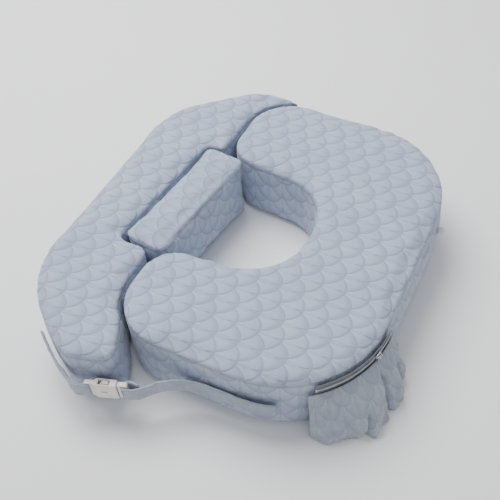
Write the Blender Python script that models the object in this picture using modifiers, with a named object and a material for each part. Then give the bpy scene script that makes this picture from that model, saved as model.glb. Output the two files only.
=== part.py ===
"""Nursing pillow: a C-shaped foam cushion, a back rest that swings on a fabric hinge
at one end, and a waist strap with a side-release buckle at the other.

Metres, +Z up. -Y is the closed front of the C, +Y the back rest, -X the buckle side.
The origin is the middle of the bounding box, at floor level.
"""
import math

import bmesh
import bpy
from mathutils import Matrix, Vector

# Overall sizes
HEIGHT = 0.115              # thickness of the C and of the back rest
BODY_WIDTH = 0.538          # the C, side to side
BODY_DEPTH = 0.363          # the C, closed front to arm tips
BACK_DEPTH = 0.148          # back rest, arm tips to back edge
BACK_OVERHANG = 0.068       # back rest past the C's side, at the buckle end

# The C
ARM_TIP_Y = 0.105
FRONT_RADIUS = 0.160
ARM_RADIUS = 0.080
ARM_INNER_RADIUS = 0.054
HOLE_SHIFT = -0.006
HOLE_MOUTH = 0.218
HOLE_FLOOR = 0.176
HOLE_DEPTH = 0.194
HOLE_RADIUS = 0.086

# The back rest's outline
BACK_SHOULDER = 0.099       # where each shoulder starts, in from the C's side
BUCKLE_SHOULDER = 0.019
BACK_ROUND = 0.155
BACK_END_ROUND = 0.085
HINGE_END_X = 0.007         # the hinge end's widest corner, past the C's side
HINGE_END_Y = 0.020         # and behind the arm tips
END_TOP_Y = 0.017           # the buckle end's upper corner, behind the arm tips
END_TIP_X = 0.025           # its lower corner, in from the upper one
END_TIP_Y = 0.055           # and ahead of the arm tips
END_ROUND = 0.045
END_TIP_ROUND = 0.018
TIP_TURN = math.radians(138)    # where the buckle end leaves the left arm
TIP_LIFT = math.radians(-3)     # where the hinge end's outside leaves its round tip

# The lumbar block that closes the hole's back
LUMBAR_REACH = 0.006        # how far each end reaches past the hole's mouth
LUMBAR_SHIFT = -0.004       # its middle, from the hole's middle line
LUMBAR_DEPTH = 0.074
LUMBAR_RISE = 0.002         # how far it stands above the other cushions
LUMBAR_TURN = math.radians(-6.5)
LUMBAR_CORNER = 0.012
LUMBAR_BACK = 0.008         # its middle, behind the arm tips
NOTCH_LEFT_ROUND = 0.016
NOTCH_RIGHT_ROUND = 0.008
NOTCH_BACK_ROUND = 0.006

# Covers
WALL = 0.0025               # padded cover fabric
GAP = 0.0003                # between touching pieces
SOFT_GAP = 0.001            # between the C's arms and the back rest
LID_DEPTH = 0.014           # how far a top panel wraps down to its seam
TRAY_DEPTH = 0.008          # how far a bottom panel wraps up
RIM_ROUND = 0.004
ARC_STEP = math.radians(11.25)
FINE_STEP = math.radians(3)

# Fabric hinge
HINGE_TURN = math.radians(22)
TIP_RADIUS = 0.006
TAPE_WALL = 0.0015
TAPE_RUN = 0.020            # straight length on the C's side
TAPE_WRAP = math.radians(15)
TAPE_CURL_START = math.radians(-112)
TAPE_CURL_END = math.radians(-90)   # stops short of where the opened back rest lies

# Zip on the front left corner
ZIP_DROP = 0.023            # below the top face
ZIP_START = math.radians(-140)
ZIP_END = math.radians(-90)
ZIP_WINDOW = 0.0152
ZIP_SLOT = 0.0018           # between the two rows of teeth
TEETH_HEIGHT = 0.0020
TAPE_THICK = 0.0010
TEETH_THICK = 0.0015
STOP_SPAN = math.radians(0.8)
SLIDER_TURN = math.radians(-104)
SLIDER_LENGTH = 0.011
SLIDER_HEIGHT = 0.0092
SLIDER_GAP = 0.0005
PLATE = 0.0012
BACK_PLATE = 0.0008
PULL_LENGTH = 0.016
PULL_WIDTH = 0.0072
PULL_BAR_RADIUS = 0.0009
PULL_BAR_LENGTH = 0.0078
PULL_THICK = 0.0014
PULL_NECK = 0.0038          # width of the pull between the slider's ears
PULL_SHOULDER = 0.0032      # from the bar to where the pull widens
PULL_SPREAD = 0.001
PULL_CHAMFER = 0.0015
BAR_STANDOFF = 0.0016       # slider's front plate to the pull's bar
EAR_INSIDE = 0.0024         # the two ears that hold the bar
EAR_OUTSIDE = 0.0037
EAR_REACH = 0.0019
POST_START = 0.002          # the post that joins the slider's plates
POST_END = 0.005
POST_THICK = 0.001
BITE = 0.0002               # how far joined solids reach into each other

# Pocket pouch under the zip
POUCH_DROP = 0.019          # below the middle of the zip
POUCH_STEPS = 16
POUCH_FULLNESS = 0.8        # below 1 the bulge is fuller towards its ends
POUCH_BULGE = 0.052
POUCH_END = 0.009           # depth left at its two ends
POUCH_WALL = 0.0015
HEM_HEIGHT = 0.004
HEM_WALL = 0.0022

# Waist strap and buckle
STRAP_WIDTH = 0.025
STRAP_THICK = 0.0014
STRAP_DROP = 0.056          # the strap's middle, below the top
STRAP_STANDOFF = 0.0005
STRAP_LIFT = 0.001          # past the bar's face, to the middle of the strap
SEWN_TURN = math.radians(199)   # where the front strap's sewn end starts on the corner
FRONT_RUN = [(0.0, -0.055), (0.008, -0.028), (0.026, 0.0)]     # off the C's side, and its Y
SLOT_PULL = 0.015           # the straight pull before the plug
SLOT_DIP = 0.0022           # and how far it dips towards the cushion there
FRONT_TAIL = (0.014, -0.0012)   # the folded end, past the plug and off its middle plane
BACK_ANCHOR = 0.55          # share of the back rest's straight end before the sewn end
BACK_TAIL = 0.006
TURN_ROOM = 0.0035
BUCKLE_STANDOFF = 0.0115    # buckle's middle plane to the back rest's end
BUCKLE_MARGIN = 0.004       # the buckle past each edge of the strap
SOCKET_LENGTH = 0.046
SOCKET_THICK = 0.012
BAR_THICK = 0.0072
BAR_LENGTH = 0.004
SLOT_LENGTH = 0.0045
SOCKET_HEAD = 0.031         # the thick part that takes the plug
CAVITY_DEPTH = 0.029
SOCKET_WALL = 0.004
CAVITY_THICK = 0.0076
PLUG_BASE = 0.0135
ARM_THICK = 0.0052
ARM_INSET = 0.0035          # each arm's root, in from the socket's cavity wall
SLOT_PLAY = 0.001           # past each edge of the strap
BUCKLE_STEP = 0.001         # the socket's head stands out past its tail and the plug
SOCKET_ROUND = 0.002
PLUG_ROUND = 0.001
WINDOW_START = -0.0265      # the socket's side windows, from its mouth
WINDOW_END = -0.0095
TONGUE_LENGTH = 0.022
TONGUE_WIDTH = 0.0044
ARM_PROFILE = [             # along the arm and out from its pivot
    (-0.0003, -0.0016), (-0.0003, 0.0016), (-0.0100, 0.0019), (-0.0122, 0.0078),
    (-0.0198, 0.0074), (-0.0245, 0.0015), (-0.0245, -0.0016),
]

# Care label
LABEL_HEIGHT = 0.014
LABEL_DROP = 0.045          # its low edge, below the top
LABEL_REACH = 0.008
LABEL_THICK = 0.0008

# Worked out from the sizes above
HALF = BODY_WIDTH / 2
FRONT_Y = ARM_TIP_Y - BODY_DEPTH
BACK_Y = ARM_TIP_Y + SOFT_GAP + BACK_DEPTH
ARM_WIDTH = HALF - abs(HOLE_SHIFT) - HOLE_MOUTH / 2
OUTER_ROUND = min(ARM_RADIUS, 0.55 * ARM_WIDTH)
INNER_ROUND = min(ARM_INNER_RADIUS, 0.35 * ARM_WIDTH)
FRONT_ROUND = min(FRONT_RADIUS, BODY_DEPTH - OUTER_ROUND, 0.9 * HALF)
LID_Z = HEIGHT - LID_DEPTH
SKIN = WALL + GAP
ZIP_Z = HEIGHT - ZIP_DROP
STRAP_Z = HEIGHT - STRAP_DROP
POUCH_TOP = ZIP_Z - POUCH_DROP
LUMBAR_LENGTH = HOLE_MOUTH + 2 * (LUMBAR_REACH - ARM_INNER_RADIUS + INNER_ROUND)
LUMBAR_Y = ARM_TIP_Y + LUMBAR_BACK
LABEL_X = HALF - FRONT_ROUND    # where the front wall starts to turn
CORNER_X = -HALF + FRONT_ROUND
CORNER_Y = FRONT_Y + FRONT_ROUND
LEFT_ARM = Vector((-HALF + OUTER_ROUND, ARM_TIP_Y - OUTER_ROUND))
RIGHT_ARM = Vector((HALF - OUTER_ROUND, ARM_TIP_Y - OUTER_ROUND))
HINGE_REACH = OUTER_ROUND + SOFT_GAP + TIP_RADIUS
HINGE = RIGHT_ARM + HINGE_REACH * Vector((math.cos(HINGE_TURN), math.sin(HINGE_TURN)))
BUCKLE_WIDTH = STRAP_WIDTH + 2 * BUCKLE_MARGIN
CAVITY_WIDTH = BUCKLE_WIDTH - 2 * SOCKET_WALL
ARM_PIVOT = CAVITY_WIDTH / 2 - ARM_INSET
END_TOP = Vector((-HALF - BACK_OVERHANG, ARM_TIP_Y + END_TOP_Y))
END_TIP = Vector((-HALF - BACK_OVERHANG + END_TIP_X, ARM_TIP_Y - END_TIP_Y))
BUCKLE_ALONG = (END_TIP - END_TOP).normalized()
BUCKLE_OUT = Vector((BUCKLE_ALONG.y, -BUCKLE_ALONG.x))
BUCKLE = END_TIP + BUCKLE_STANDOFF * BUCKLE_OUT

COLOURS = {
    "patterned_cover": ((0.46, 0.50, 0.58), 0.9, 0.0),
    "plain_cover": ((0.30, 0.31, 0.34), 0.9, 0.0),
    "foam": ((0.85, 0.82, 0.70), 1.0, 0.0),
    "strap": ((0.34, 0.36, 0.40), 0.9, 0.0),
    "zip_tape": ((0.28, 0.29, 0.32), 0.85, 0.0),
    "zip_metal": ((0.50, 0.52, 0.56), 0.35, 0.9),
    "buckle": ((0.80, 0.75, 0.68), 0.4, 0.0),
    "label": ((0.90, 0.90, 0.90), 0.8, 0.0),
}


# Scene helpers

def clear_scene():
    for obj in list(bpy.data.objects):
        bpy.data.objects.remove(obj, do_unlink=True)


def new_collection(name):
    collection = bpy.data.collections.new(name)
    bpy.context.scene.collection.children.link(collection)
    return collection


def material(name):
    found = bpy.data.materials.get(name)
    if found:
        return found
    colour, roughness, metallic = COLOURS[name]
    made = bpy.data.materials.new(name)
    made.use_nodes = True
    shader = made.node_tree.nodes["Principled BSDF"]
    shader.inputs["Base Color"].default_value = (*colour, 1.0)
    shader.inputs["Roughness"].default_value = roughness
    shader.inputs["Metallic"].default_value = metallic
    return made


def place(name, mesh, slot, parent):
    obj = bpy.data.objects.new(name, mesh)
    mesh.name = name
    mesh.materials.clear()
    mesh.materials.append(material(slot))
    PARTS.objects.link(obj)
    obj.parent = parent
    return obj


def empty(name, location, rotation=(0.0, 0.0, 0.0)):
    obj = bpy.data.objects.new(name, None)
    obj.location = location
    obj.rotation_euler = rotation
    obj.parent = FRAME
    PARTS.objects.link(obj)
    return obj


# Outlines, as lists of 2-D points, interior on the left

def arc(centre, radius, start, end, step=ARC_STEP):
    count = max(2, math.ceil(abs(end - start) / step))
    turns = [start + (end - start) * i / count for i in range(count + 1)]
    return [Vector((centre[0] + radius * math.cos(t), centre[1] + radius * math.sin(t))) for t in turns]


def round_corner(before, corner, after, radius):
    """The arc that replaces one corner."""
    if radius <= 0:
        return [corner]
    back = (before - corner).normalized()
    ahead = (after - corner).normalized()
    opening = math.acos(max(-1.0, min(1.0, back.dot(ahead))))
    reach = radius / math.tan(opening / 2)
    centre = corner + (back + ahead).normalized() * radius / math.sin(opening / 2)
    first = corner + back * reach - centre
    last = corner + ahead * reach - centre
    start = math.atan2(first.y, first.x)
    sweep = math.atan2(first.cross(last), first.dot(last))
    return arc(centre, radius, start, start + sweep)


def rounded(corners, closed=True):
    """An outline through (x, y, radius) corners."""
    points = [Vector(c[:2]) for c in corners]
    outline = []
    for i, (x, y, radius) in enumerate(corners):
        at_end = not closed and i in (0, len(corners) - 1)
        if at_end:
            outline.append(points[i])
            continue
        outline += round_corner(points[i - 1], points[i], points[(i + 1) % len(points)], radius)
    return outline


def inset(path, distance, closed=True):
    """The path moved to its left by a distance."""
    moved = []
    last = len(path) - 1
    for i, point in enumerate(path):
        before = path[i - 1] if closed or i > 0 else None
        after = path[(i + 1) % len(path)] if closed or i < last else None
        into = (point - before).normalized() if before else (after - point).normalized()
        out = (after - point).normalized() if after else into
        normal = (Vector((-into.y, into.x)) + Vector((-out.y, out.x))).normalized()
        stretch = max(0.3, normal.dot(Vector((-into.y, into.x))))
        moved.append(point + normal * distance / stretch)
    return moved


def ribbon(path, thickness):
    """A closed outline of a strip that lies on the left of an open path."""
    return path + list(reversed(inset(path, thickness, closed=False)))


def smooth(points, steps=4):
    """A Catmull-Rom curve through a few chosen points."""
    padded = [2 * points[0] - points[1]] + points + [2 * points[-1] - points[-2]]
    path = []
    for i in range(1, len(padded) - 2):
        p0, p1, p2, p3 = padded[i - 1:i + 3]
        for k in range(steps):
            t = k / steps
            linear = 2 * p1 + t * (p2 - p0)
            square = t * t * (2 * p0 - 5 * p1 + 4 * p2 - p3)
            cube = t ** 3 * (3 * p1 - p0 - 3 * p2 + p3)
            path.append((linear + square + cube) / 2)
    path.append(points[-1])
    return path


# Solids

def prism_mesh(loops, bottom, top):
    """A flat outline, with any holes, drawn up from bottom to top."""
    curve = bpy.data.curves.new("outline", "CURVE")
    curve.dimensions = "2D"
    curve.fill_mode = "BOTH"
    curve.extrude = (top - bottom) / 2
    for loop in loops:
        spline = curve.splines.new("POLY")
        spline.points.add(len(loop) - 1)
        spline.use_cyclic_u = True
        for point, (x, y) in zip(spline.points, loop):
            point.co = (x, y, 0.0, 1.0)
    drawn = bpy.data.objects.new("outline", curve)
    CUTTERS.objects.link(drawn)
    bpy.context.view_layer.update()
    mesh = bpy.data.meshes.new_from_object(drawn.evaluated_get(bpy.context.evaluated_depsgraph_get()))
    bpy.data.objects.remove(drawn, do_unlink=True)
    bm = bmesh.new()
    bm.from_mesh(mesh)
    bmesh.ops.remove_doubles(bm, verts=bm.verts, dist=0.00001)
    bmesh.ops.translate(bm, verts=bm.verts, vec=(0.0, 0.0, (top + bottom) / 2))
    bmesh.ops.recalc_face_normals(bm, faces=bm.faces)
    bmesh.ops.dissolve_limit(bm, angle_limit=0.001, verts=bm.verts, edges=bm.edges)
    bm.to_mesh(mesh)
    bm.free()
    return mesh


def prism(name, loops, bottom, top, slot, parent=None):
    return place(name, prism_mesh(loops, bottom, top), slot, parent or FRAME)


def round_rims(obj, width):
    bevel = obj.modifiers.new("rounded rims", "BEVEL")
    bevel.width = width
    bevel.segments = 2
    bevel.limit_method = "ANGLE"
    bevel.angle_limit = math.radians(60)


def shell(name, loop, bottom, top, wall, slot, open_top, rim=RIM_ROUND):
    """A cover panel: a prism's skin without its lower or upper face."""
    mesh = prism_mesh([loop], bottom, top)
    bm = bmesh.new()
    bm.from_mesh(mesh)
    sign = 1.0 if open_top else -1.0
    opened = [f for f in bm.faces if f.normal.z * sign > 0.5]
    bmesh.ops.delete(bm, geom=opened, context="FACES")
    bm.to_mesh(mesh)
    bm.free()
    obj = place(name, mesh, slot, FRAME)
    if rim > 0:
        round_rims(obj, rim)
    solid = obj.modifiers.new("fabric", "SOLIDIFY")
    solid.thickness = wall
    solid.offset = -1.0
    solid.use_even_offset = True
    return obj


def foam(name, loop, top, slot="foam"):
    core = prism(name, [inset(loop, SKIN)], SKIN, top - SKIN, slot)
    round_rims(core, RIM_ROUND - WALL)
    return core


def box_mesh(low, high):
    bm = bmesh.new()
    size = Vector(high) - Vector(low)
    middle = (Vector(high) + Vector(low)) / 2
    bmesh.ops.create_cube(bm, size=1.0)
    bmesh.ops.scale(bm, verts=bm.verts, vec=size)
    bmesh.ops.translate(bm, verts=bm.verts, vec=middle)
    mesh = bpy.data.meshes.new("box")
    bm.to_mesh(mesh)
    bm.free()
    return mesh


def cylinder_mesh(centre, radius, length, turn, sides=16):
    bm = bmesh.new()
    bmesh.ops.create_cone(bm, cap_ends=True, segments=sides, radius1=radius, radius2=radius, depth=length)
    bmesh.ops.transform(bm, matrix=Matrix.Translation(centre) @ turn, verts=bm.verts)
    mesh = bpy.data.meshes.new("cylinder")
    bm.to_mesh(mesh)
    bm.free()
    return mesh


def combine(obj, mesh, operation):
    """A Boolean with a hidden cutter that shares the object's own frame."""
    cutter = bpy.data.objects.new(obj.name + "_cutter", mesh)
    CUTTERS.objects.link(cutter)
    cutter.parent = obj.parent
    cutter.hide_render = True
    cutter.display_type = "WIRE"
    boolean = obj.modifiers.new(operation.lower(), "BOOLEAN")
    boolean.operation = operation
    boolean.object = cutter
    boolean.solver = "EXACT"


def soften(obj, width, segments=2):
    bevel = obj.modifiers.new("soft edges", "BEVEL")
    bevel.width = width
    bevel.segments = segments
    bevel.limit_method = "ANGLE"
    bevel.angle_limit = math.radians(50)


# The C cushion

def outer_corners():
    return [
        (-HALF, ARM_TIP_Y, OUTER_ROUND),
        (-HALF, FRONT_Y, FRONT_ROUND),
        (HALF, FRONT_Y, FRONT_ROUND),
        (HALF, ARM_TIP_Y, OUTER_ROUND),
    ]


def hole_corners():
    floor_y = ARM_TIP_Y - HOLE_DEPTH
    return [
        (HOLE_SHIFT + HOLE_MOUTH / 2, ARM_TIP_Y, INNER_ROUND),
        (HOLE_SHIFT + HOLE_FLOOR / 2, floor_y, HOLE_RADIUS),
        (HOLE_SHIFT - HOLE_FLOOR / 2, floor_y, HOLE_RADIUS),
        (HOLE_SHIFT - HOLE_MOUTH / 2, ARM_TIP_Y, INNER_ROUND),
    ]


def arm_seams():
    """Where the outer band meets the inner band on each arm tip."""
    left = (LEFT_ARM.x + HOLE_SHIFT - HOLE_MOUTH / 2 - INNER_ROUND) / 2
    right = (RIGHT_ARM.x + HOLE_SHIFT + HOLE_MOUTH / 2 + INNER_ROUND) / 2
    return left, right


def main_covers():
    loop = rounded(outer_corners() + hole_corners())
    foam("main_foam_core", loop, HEIGHT)
    shell("main_top_panel", loop, LID_Z, HEIGHT, WALL, "patterned_cover", open_top=False)
    shell("main_bottom_panel", loop, 0.0, TRAY_DEPTH, WALL, "plain_cover", open_top=True)


def main_bands():
    left, right = arm_seams()
    bottom = TRAY_DEPTH + GAP
    top = LID_Z - GAP
    around = [(left - GAP, ARM_TIP_Y, 0)] + outer_corners() + [(right + GAP, ARM_TIP_Y, 0)]
    outside = ribbon(rounded(around, closed=False), WALL)
    outer = prism("main_outer_band", [outside], bottom, top, "plain_cover")
    inside = [(right, ARM_TIP_Y, 0)] + hole_corners() + [(left, ARM_TIP_Y, 0)]
    prism("main_inner_band", [ribbon(rounded(inside, closed=False), WALL)], bottom, top, "plain_cover")
    window = sector(FRONT_ROUND - 3 * WALL, FRONT_ROUND + WALL, ZIP_START, ZIP_END)
    combine(outer, prism_mesh([window], ZIP_Z - ZIP_WINDOW / 2, ZIP_Z + ZIP_WINDOW / 2), "DIFFERENCE")


def care_label():
    low = (LABEL_X - LABEL_THICK / 2, FRONT_Y - GAP - LABEL_REACH, HEIGHT - LABEL_DROP)
    high = (LABEL_X + LABEL_THICK / 2, FRONT_Y - GAP, HEIGHT - LABEL_DROP + LABEL_HEIGHT)
    place("care_label", box_mesh(low, high), "label", FRAME)


# The zip, around the centre of the front left corner

def sector(inner, outer, start, end):
    centre = (CORNER_X, CORNER_Y)
    outside = arc(centre, outer, start, end, FINE_STEP)
    return outside + list(reversed(arc(centre, inner, start, end, FINE_STEP)))


def zip_strips():
    tape_start = ZIP_START + GAP / FRONT_ROUND
    tape_end = ZIP_END - GAP / FRONT_ROUND
    teeth_start = tape_start + STOP_SPAN + GAP / FRONT_ROUND
    teeth_end = tape_end - STOP_SPAN - GAP / FRONT_ROUND
    tape = sector(FRONT_ROUND - TAPE_THICK, FRONT_ROUND, tape_start, tape_end)
    teeth = sector(FRONT_ROUND - TAPE_THICK, FRONT_ROUND - TAPE_THICK + TEETH_THICK, teeth_start, teeth_end)
    near = ZIP_SLOT / 2
    far = near + TEETH_HEIGHT
    edge = ZIP_WINDOW / 2 - GAP
    prism("zip_tape_upper", [tape], ZIP_Z + far + GAP, ZIP_Z + edge, "zip_tape")
    prism("zip_tape_lower", [tape], ZIP_Z - edge, ZIP_Z - far - GAP, "zip_tape")
    prism("zip_teeth_upper", [teeth], ZIP_Z + near, ZIP_Z + far, "zip_metal")
    prism("zip_teeth_lower", [teeth], ZIP_Z - far, ZIP_Z - near, "zip_metal")
    return tape_start, tape_end, far


def zip_stops(tape_start, tape_end, reach):
    radii = (FRONT_ROUND - TAPE_THICK, FRONT_ROUND - TAPE_THICK + TEETH_THICK)
    side = sector(*radii, tape_start, tape_start + STOP_SPAN)
    front = sector(*radii, tape_end - STOP_SPAN, tape_end)
    prism("zip_stop_side", [side], ZIP_Z - reach, ZIP_Z + reach, "zip_metal")
    prism("zip_stop_front", [front], ZIP_Z - reach, ZIP_Z + reach, "zip_metal")


def slider_layout():
    """Radial places that the slider and its pull share."""
    front = FRONT_ROUND - TAPE_THICK + TEETH_THICK + SLIDER_GAP
    back = FRONT_ROUND - TAPE_THICK - SLIDER_GAP
    bar = front + PLATE + BAR_STANDOFF
    return front, back, bar


def zip_slider(pivot):
    front, back, bar = slider_layout()
    half = SLIDER_LENGTH / 2
    tall = SLIDER_HEIGHT / 2
    plate = box_mesh((front, -half, -tall), (front + PLATE, half, tall))
    slider = place("zip_slider", plate, "zip_metal", pivot)
    combine(slider, box_mesh((back - BACK_PLATE, -half, -tall), (back, half, tall)), "UNION")
    post = box_mesh((back - BITE, POST_START, -POST_THICK / 2), (front + BITE, POST_END, POST_THICK / 2))
    combine(slider, post, "UNION")
    for side in (-1, 1):
        ends = sorted((side * EAR_INSIDE, side * EAR_OUTSIDE))
        low = (front + PLATE - BITE, ends[0], -EAR_REACH)
        high = (bar + EAR_REACH, ends[1], EAR_REACH)
        combine(slider, box_mesh(low, high), "UNION")
    bore = Matrix.Rotation(math.pi / 2, 4, "X")
    hole = cylinder_mesh((bar, 0, 0), PULL_BAR_RADIUS + GAP, 2 * SLIDER_HEIGHT, bore)
    combine(slider, hole, "DIFFERENCE")


def zip_pull(pivot):
    wide = PULL_WIDTH / 2
    neck = PULL_NECK / 2
    spread = -PULL_SHOULDER - PULL_SPREAD
    corner = PULL_CHAMFER - PULL_LENGTH
    right = [(neck, 0), (neck, -PULL_SHOULDER), (wide, spread), (wide, corner)]
    right.append((wide - PULL_CHAMFER, -PULL_LENGTH))
    outline = [(-x, y) for x, y in right] + list(reversed(right))
    mesh = prism_mesh([outline], -PULL_THICK / 2, PULL_THICK / 2)
    mesh.transform(Matrix.Rotation(math.pi / 2, 4, "Z") @ Matrix.Rotation(math.pi / 2, 4, "X"))
    pull = place("zip_pull", mesh, "zip_metal", pivot)
    bar = cylinder_mesh((0, 0, 0), PULL_BAR_RADIUS, PULL_BAR_LENGTH, Matrix.Rotation(math.pi / 2, 4, "X"))
    combine(pull, bar, "UNION")


def zip_assembly():
    tape_start, tape_end, reach = zip_strips()
    zip_stops(tape_start, tape_end, reach)
    pivot = empty("zip_slider_pivot", (CORNER_X, CORNER_Y, ZIP_Z), (0, 0, SLIDER_TURN))
    zip_slider(pivot)
    across = Vector((math.cos(SLIDER_TURN), math.sin(SLIDER_TURN))) * slider_layout()[2]
    hook = (CORNER_X + across.x, CORNER_Y + across.y, ZIP_Z)
    zip_pull(empty("zip_pull_pivot", hook, (0, 0, SLIDER_TURN)))


# The pocket pouch on the same corner

def pouch_loop():
    """Crescent between the corner's wall and the sagging pouch."""
    centre = Vector((CORNER_X, CORNER_Y))
    base = FRONT_ROUND + 2 * GAP
    clear = base / math.cos((ZIP_END - ZIP_START) / POUCH_STEPS / 2)
    inner = []
    outer = []
    for i in range(POUCH_STEPS + 1):
        share = i / POUCH_STEPS
        turn = ZIP_START + (ZIP_END - ZIP_START) * share
        ray = Vector((math.cos(turn), math.sin(turn)))
        depth = POUCH_END + (POUCH_BULGE - POUCH_END) * math.sin(math.pi * share) ** POUCH_FULLNESS
        inner.append(centre + ray * clear)
        outer.append(centre + ray * (base + depth))
    return outer + list(reversed(inner))


def pocket():
    loop = pouch_loop()
    seat = POUCH_TOP - HEM_HEIGHT
    shell("pocket_pouch", loop, GAP, seat, POUCH_WALL, "plain_cover", open_top=True, rim=0.0)
    prism("pocket_hem", [loop, inset(loop, HEM_WALL)], seat + GAP, POUCH_TOP, "plain_cover")


# The back rest

def lumbar_point(x, y):
    turn = Matrix.Rotation(LUMBAR_TURN, 2)
    return Vector((HOLE_SHIFT + LUMBAR_SHIFT, LUMBAR_Y)) + turn @ Vector((x, y))


def notch_corner(side):
    """Where the notch's side wall meets the line along the arm tips."""
    x = side * (LUMBAR_LENGTH / 2 + GAP)
    line_y = ARM_TIP_Y + SOFT_GAP
    y = (line_y - LUMBAR_Y - x * math.sin(LUMBAR_TURN)) / math.cos(LUMBAR_TURN)
    return lumbar_point(x, y)


def back_outline():
    hug = OUTER_ROUND + SOFT_GAP
    tip_start = HINGE_TURN + math.pi
    tip = arc(HINGE, TIP_RADIUS, tip_start, 2 * math.pi + TIP_LIFT)
    outside = [
        (*tip[-1], 0),
        (HALF + HINGE_END_X, ARM_TIP_Y + HINGE_END_Y, BACK_END_ROUND),
        (HALF - BACK_SHOULDER, BACK_Y, BACK_ROUND),
        (-HALF + BUCKLE_SHOULDER, BACK_Y, BACK_ROUND),
        (*END_TOP, END_ROUND),
        (*END_TIP, END_TIP_ROUND),
        (*(LEFT_ARM + hug * Vector((math.cos(TIP_TURN), math.sin(TIP_TURN)))), 0),
    ]
    left_hug = arc(LEFT_ARM, hug, TIP_TURN, math.pi / 2)
    back = LUMBAR_DEPTH / 2 + GAP
    side = LUMBAR_LENGTH / 2 + GAP
    notch = [
        (*left_hug[-1], 0),
        (*notch_corner(-1), NOTCH_LEFT_ROUND),
        (*lumbar_point(-side, back), NOTCH_BACK_ROUND),
        (*lumbar_point(side, back), NOTCH_BACK_ROUND),
        (*notch_corner(1), NOTCH_RIGHT_ROUND),
        (RIGHT_ARM.x, ARM_TIP_Y + SOFT_GAP, 0),
    ]
    right_hug = arc(RIGHT_ARM, hug, math.pi / 2, HINGE_TURN)
    walk = tip[1:-1] + rounded(outside, closed=False)[:-1] + left_hug[:-1]
    return walk + rounded(notch, closed=False)[:-1] + right_hug


def back_rest():
    loop = back_outline()
    foam("back_foam_core", loop, HEIGHT)
    shell("back_top_panel", loop, LID_Z, HEIGHT, WALL, "patterned_cover", open_top=False)
    shell("back_bottom_panel", loop, 0.0, TRAY_DEPTH, WALL, "plain_cover", open_top=True)
    prism("back_side_band", [loop, inset(loop, WALL)], TRAY_DEPTH + GAP, LID_Z - GAP, "plain_cover")


def lumbar_block():
    x = LUMBAR_LENGTH / 2
    y = LUMBAR_DEPTH / 2
    corners = [(*lumbar_point(a, b), LUMBAR_CORNER) for a, b in ((-x, -y), (x, -y), (x, y), (-x, y))]
    loop = rounded(corners)
    top = HEIGHT + LUMBAR_RISE
    foam("lumbar_foam_core", loop, top)
    shell("lumbar_top_panel", loop, top - LID_DEPTH, top, WALL, "patterned_cover", open_top=False)
    shell("lumbar_bottom_panel", loop, 0.0, TRAY_DEPTH, WALL, "plain_cover", open_top=True)
    prism("lumbar_side_band", [loop, inset(loop, WALL)], TRAY_DEPTH + GAP, top - LID_DEPTH - GAP,
          "patterned_cover")


def hinge_tape():
    """Fabric tape that hugs the C's arm and curls under the back rest's tip."""
    reach = OUTER_ROUND + STRAP_STANDOFF
    start = Vector((HALF + STRAP_STANDOFF, RIGHT_ARM.y - TAPE_RUN))
    on_arm = [start] + arc(RIGHT_ARM, reach, 0, TAPE_WRAP)
    curl = arc(HINGE, TIP_RADIUS + SOFT_GAP, TAPE_CURL_START, TAPE_CURL_END)
    inner = on_arm + curl[1:]
    outer = inset(inner, -TAPE_WALL, closed=False)
    prism("hinge_tape", [outer + list(reversed(inner))], TRAY_DEPTH, LID_Z, "strap")


# The strap and its buckle

def buckle_point(along, out):
    return BUCKLE + along * BUCKLE_ALONG + out * BUCKLE_OUT


def strap(name, path):
    side = inset(path, STRAP_THICK / 2, closed=False)
    other = inset(path, -STRAP_THICK / 2, closed=False)
    low, high = STRAP_Z - STRAP_WIDTH / 2, STRAP_Z + STRAP_WIDTH / 2
    prism(name, [other + list(reversed(side))], low, high, "strap")


def strap_lift():
    """From a strap bar's middle plane to the strap's middle plane."""
    return BAR_THICK / 2 + STRAP_LIFT


def front_strap():
    lift = strap_lift()
    slot = PLUG_BASE - BAR_LENGTH - SLOT_LENGTH / 2
    off = STRAP_STANDOFF + STRAP_THICK / 2
    sewn = arc((CORNER_X, CORNER_Y), FRONT_ROUND + off, SEWN_TURN, math.pi, FINE_STEP)
    free = [Vector((-HALF - off - out, y)) for out, y in FRONT_RUN]
    near = PLUG_BASE + STRAP_LIFT
    run = smooth(free + [buckle_point(near + SLOT_PULL, lift - SLOT_DIP), buckle_point(near, lift)])
    turn = [buckle_point(slot, lift), buckle_point(slot, -lift), buckle_point(near, -lift),
            buckle_point(PLUG_BASE + FRONT_TAIL[0], FRONT_TAIL[1])]
    strap("strap_front", sewn + run + turn)


def back_strap():
    lift = strap_lift()
    slot = -SOCKET_LENGTH + BAR_LENGTH + SLOT_LENGTH / 2
    off = STRAP_STANDOFF + STRAP_THICK
    corners = [(-HALF + BUCKLE_SHOULDER, BACK_Y, 0), (*END_TOP, END_ROUND), (*END_TIP, 0)]
    wall = rounded(corners, closed=False)
    anchor = wall[0] + BACK_ANCHOR * (wall[1] - wall[0])
    hug = inset([anchor] + wall[1:-4], -off, closed=False)
    behind = -SOCKET_THICK / 2 - STRAP_THICK
    through = [buckle_point(slot, lift), buckle_point(slot, -lift)]
    turn = [buckle_point(-SOCKET_LENGTH - TURN_ROOM, lift)] + through
    turn += [buckle_point(-SOCKET_HEAD - TURN_ROOM, behind), buckle_point(PLUG_BASE + BACK_TAIL, behind)]
    strap("strap_back", hug + turn)


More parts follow.
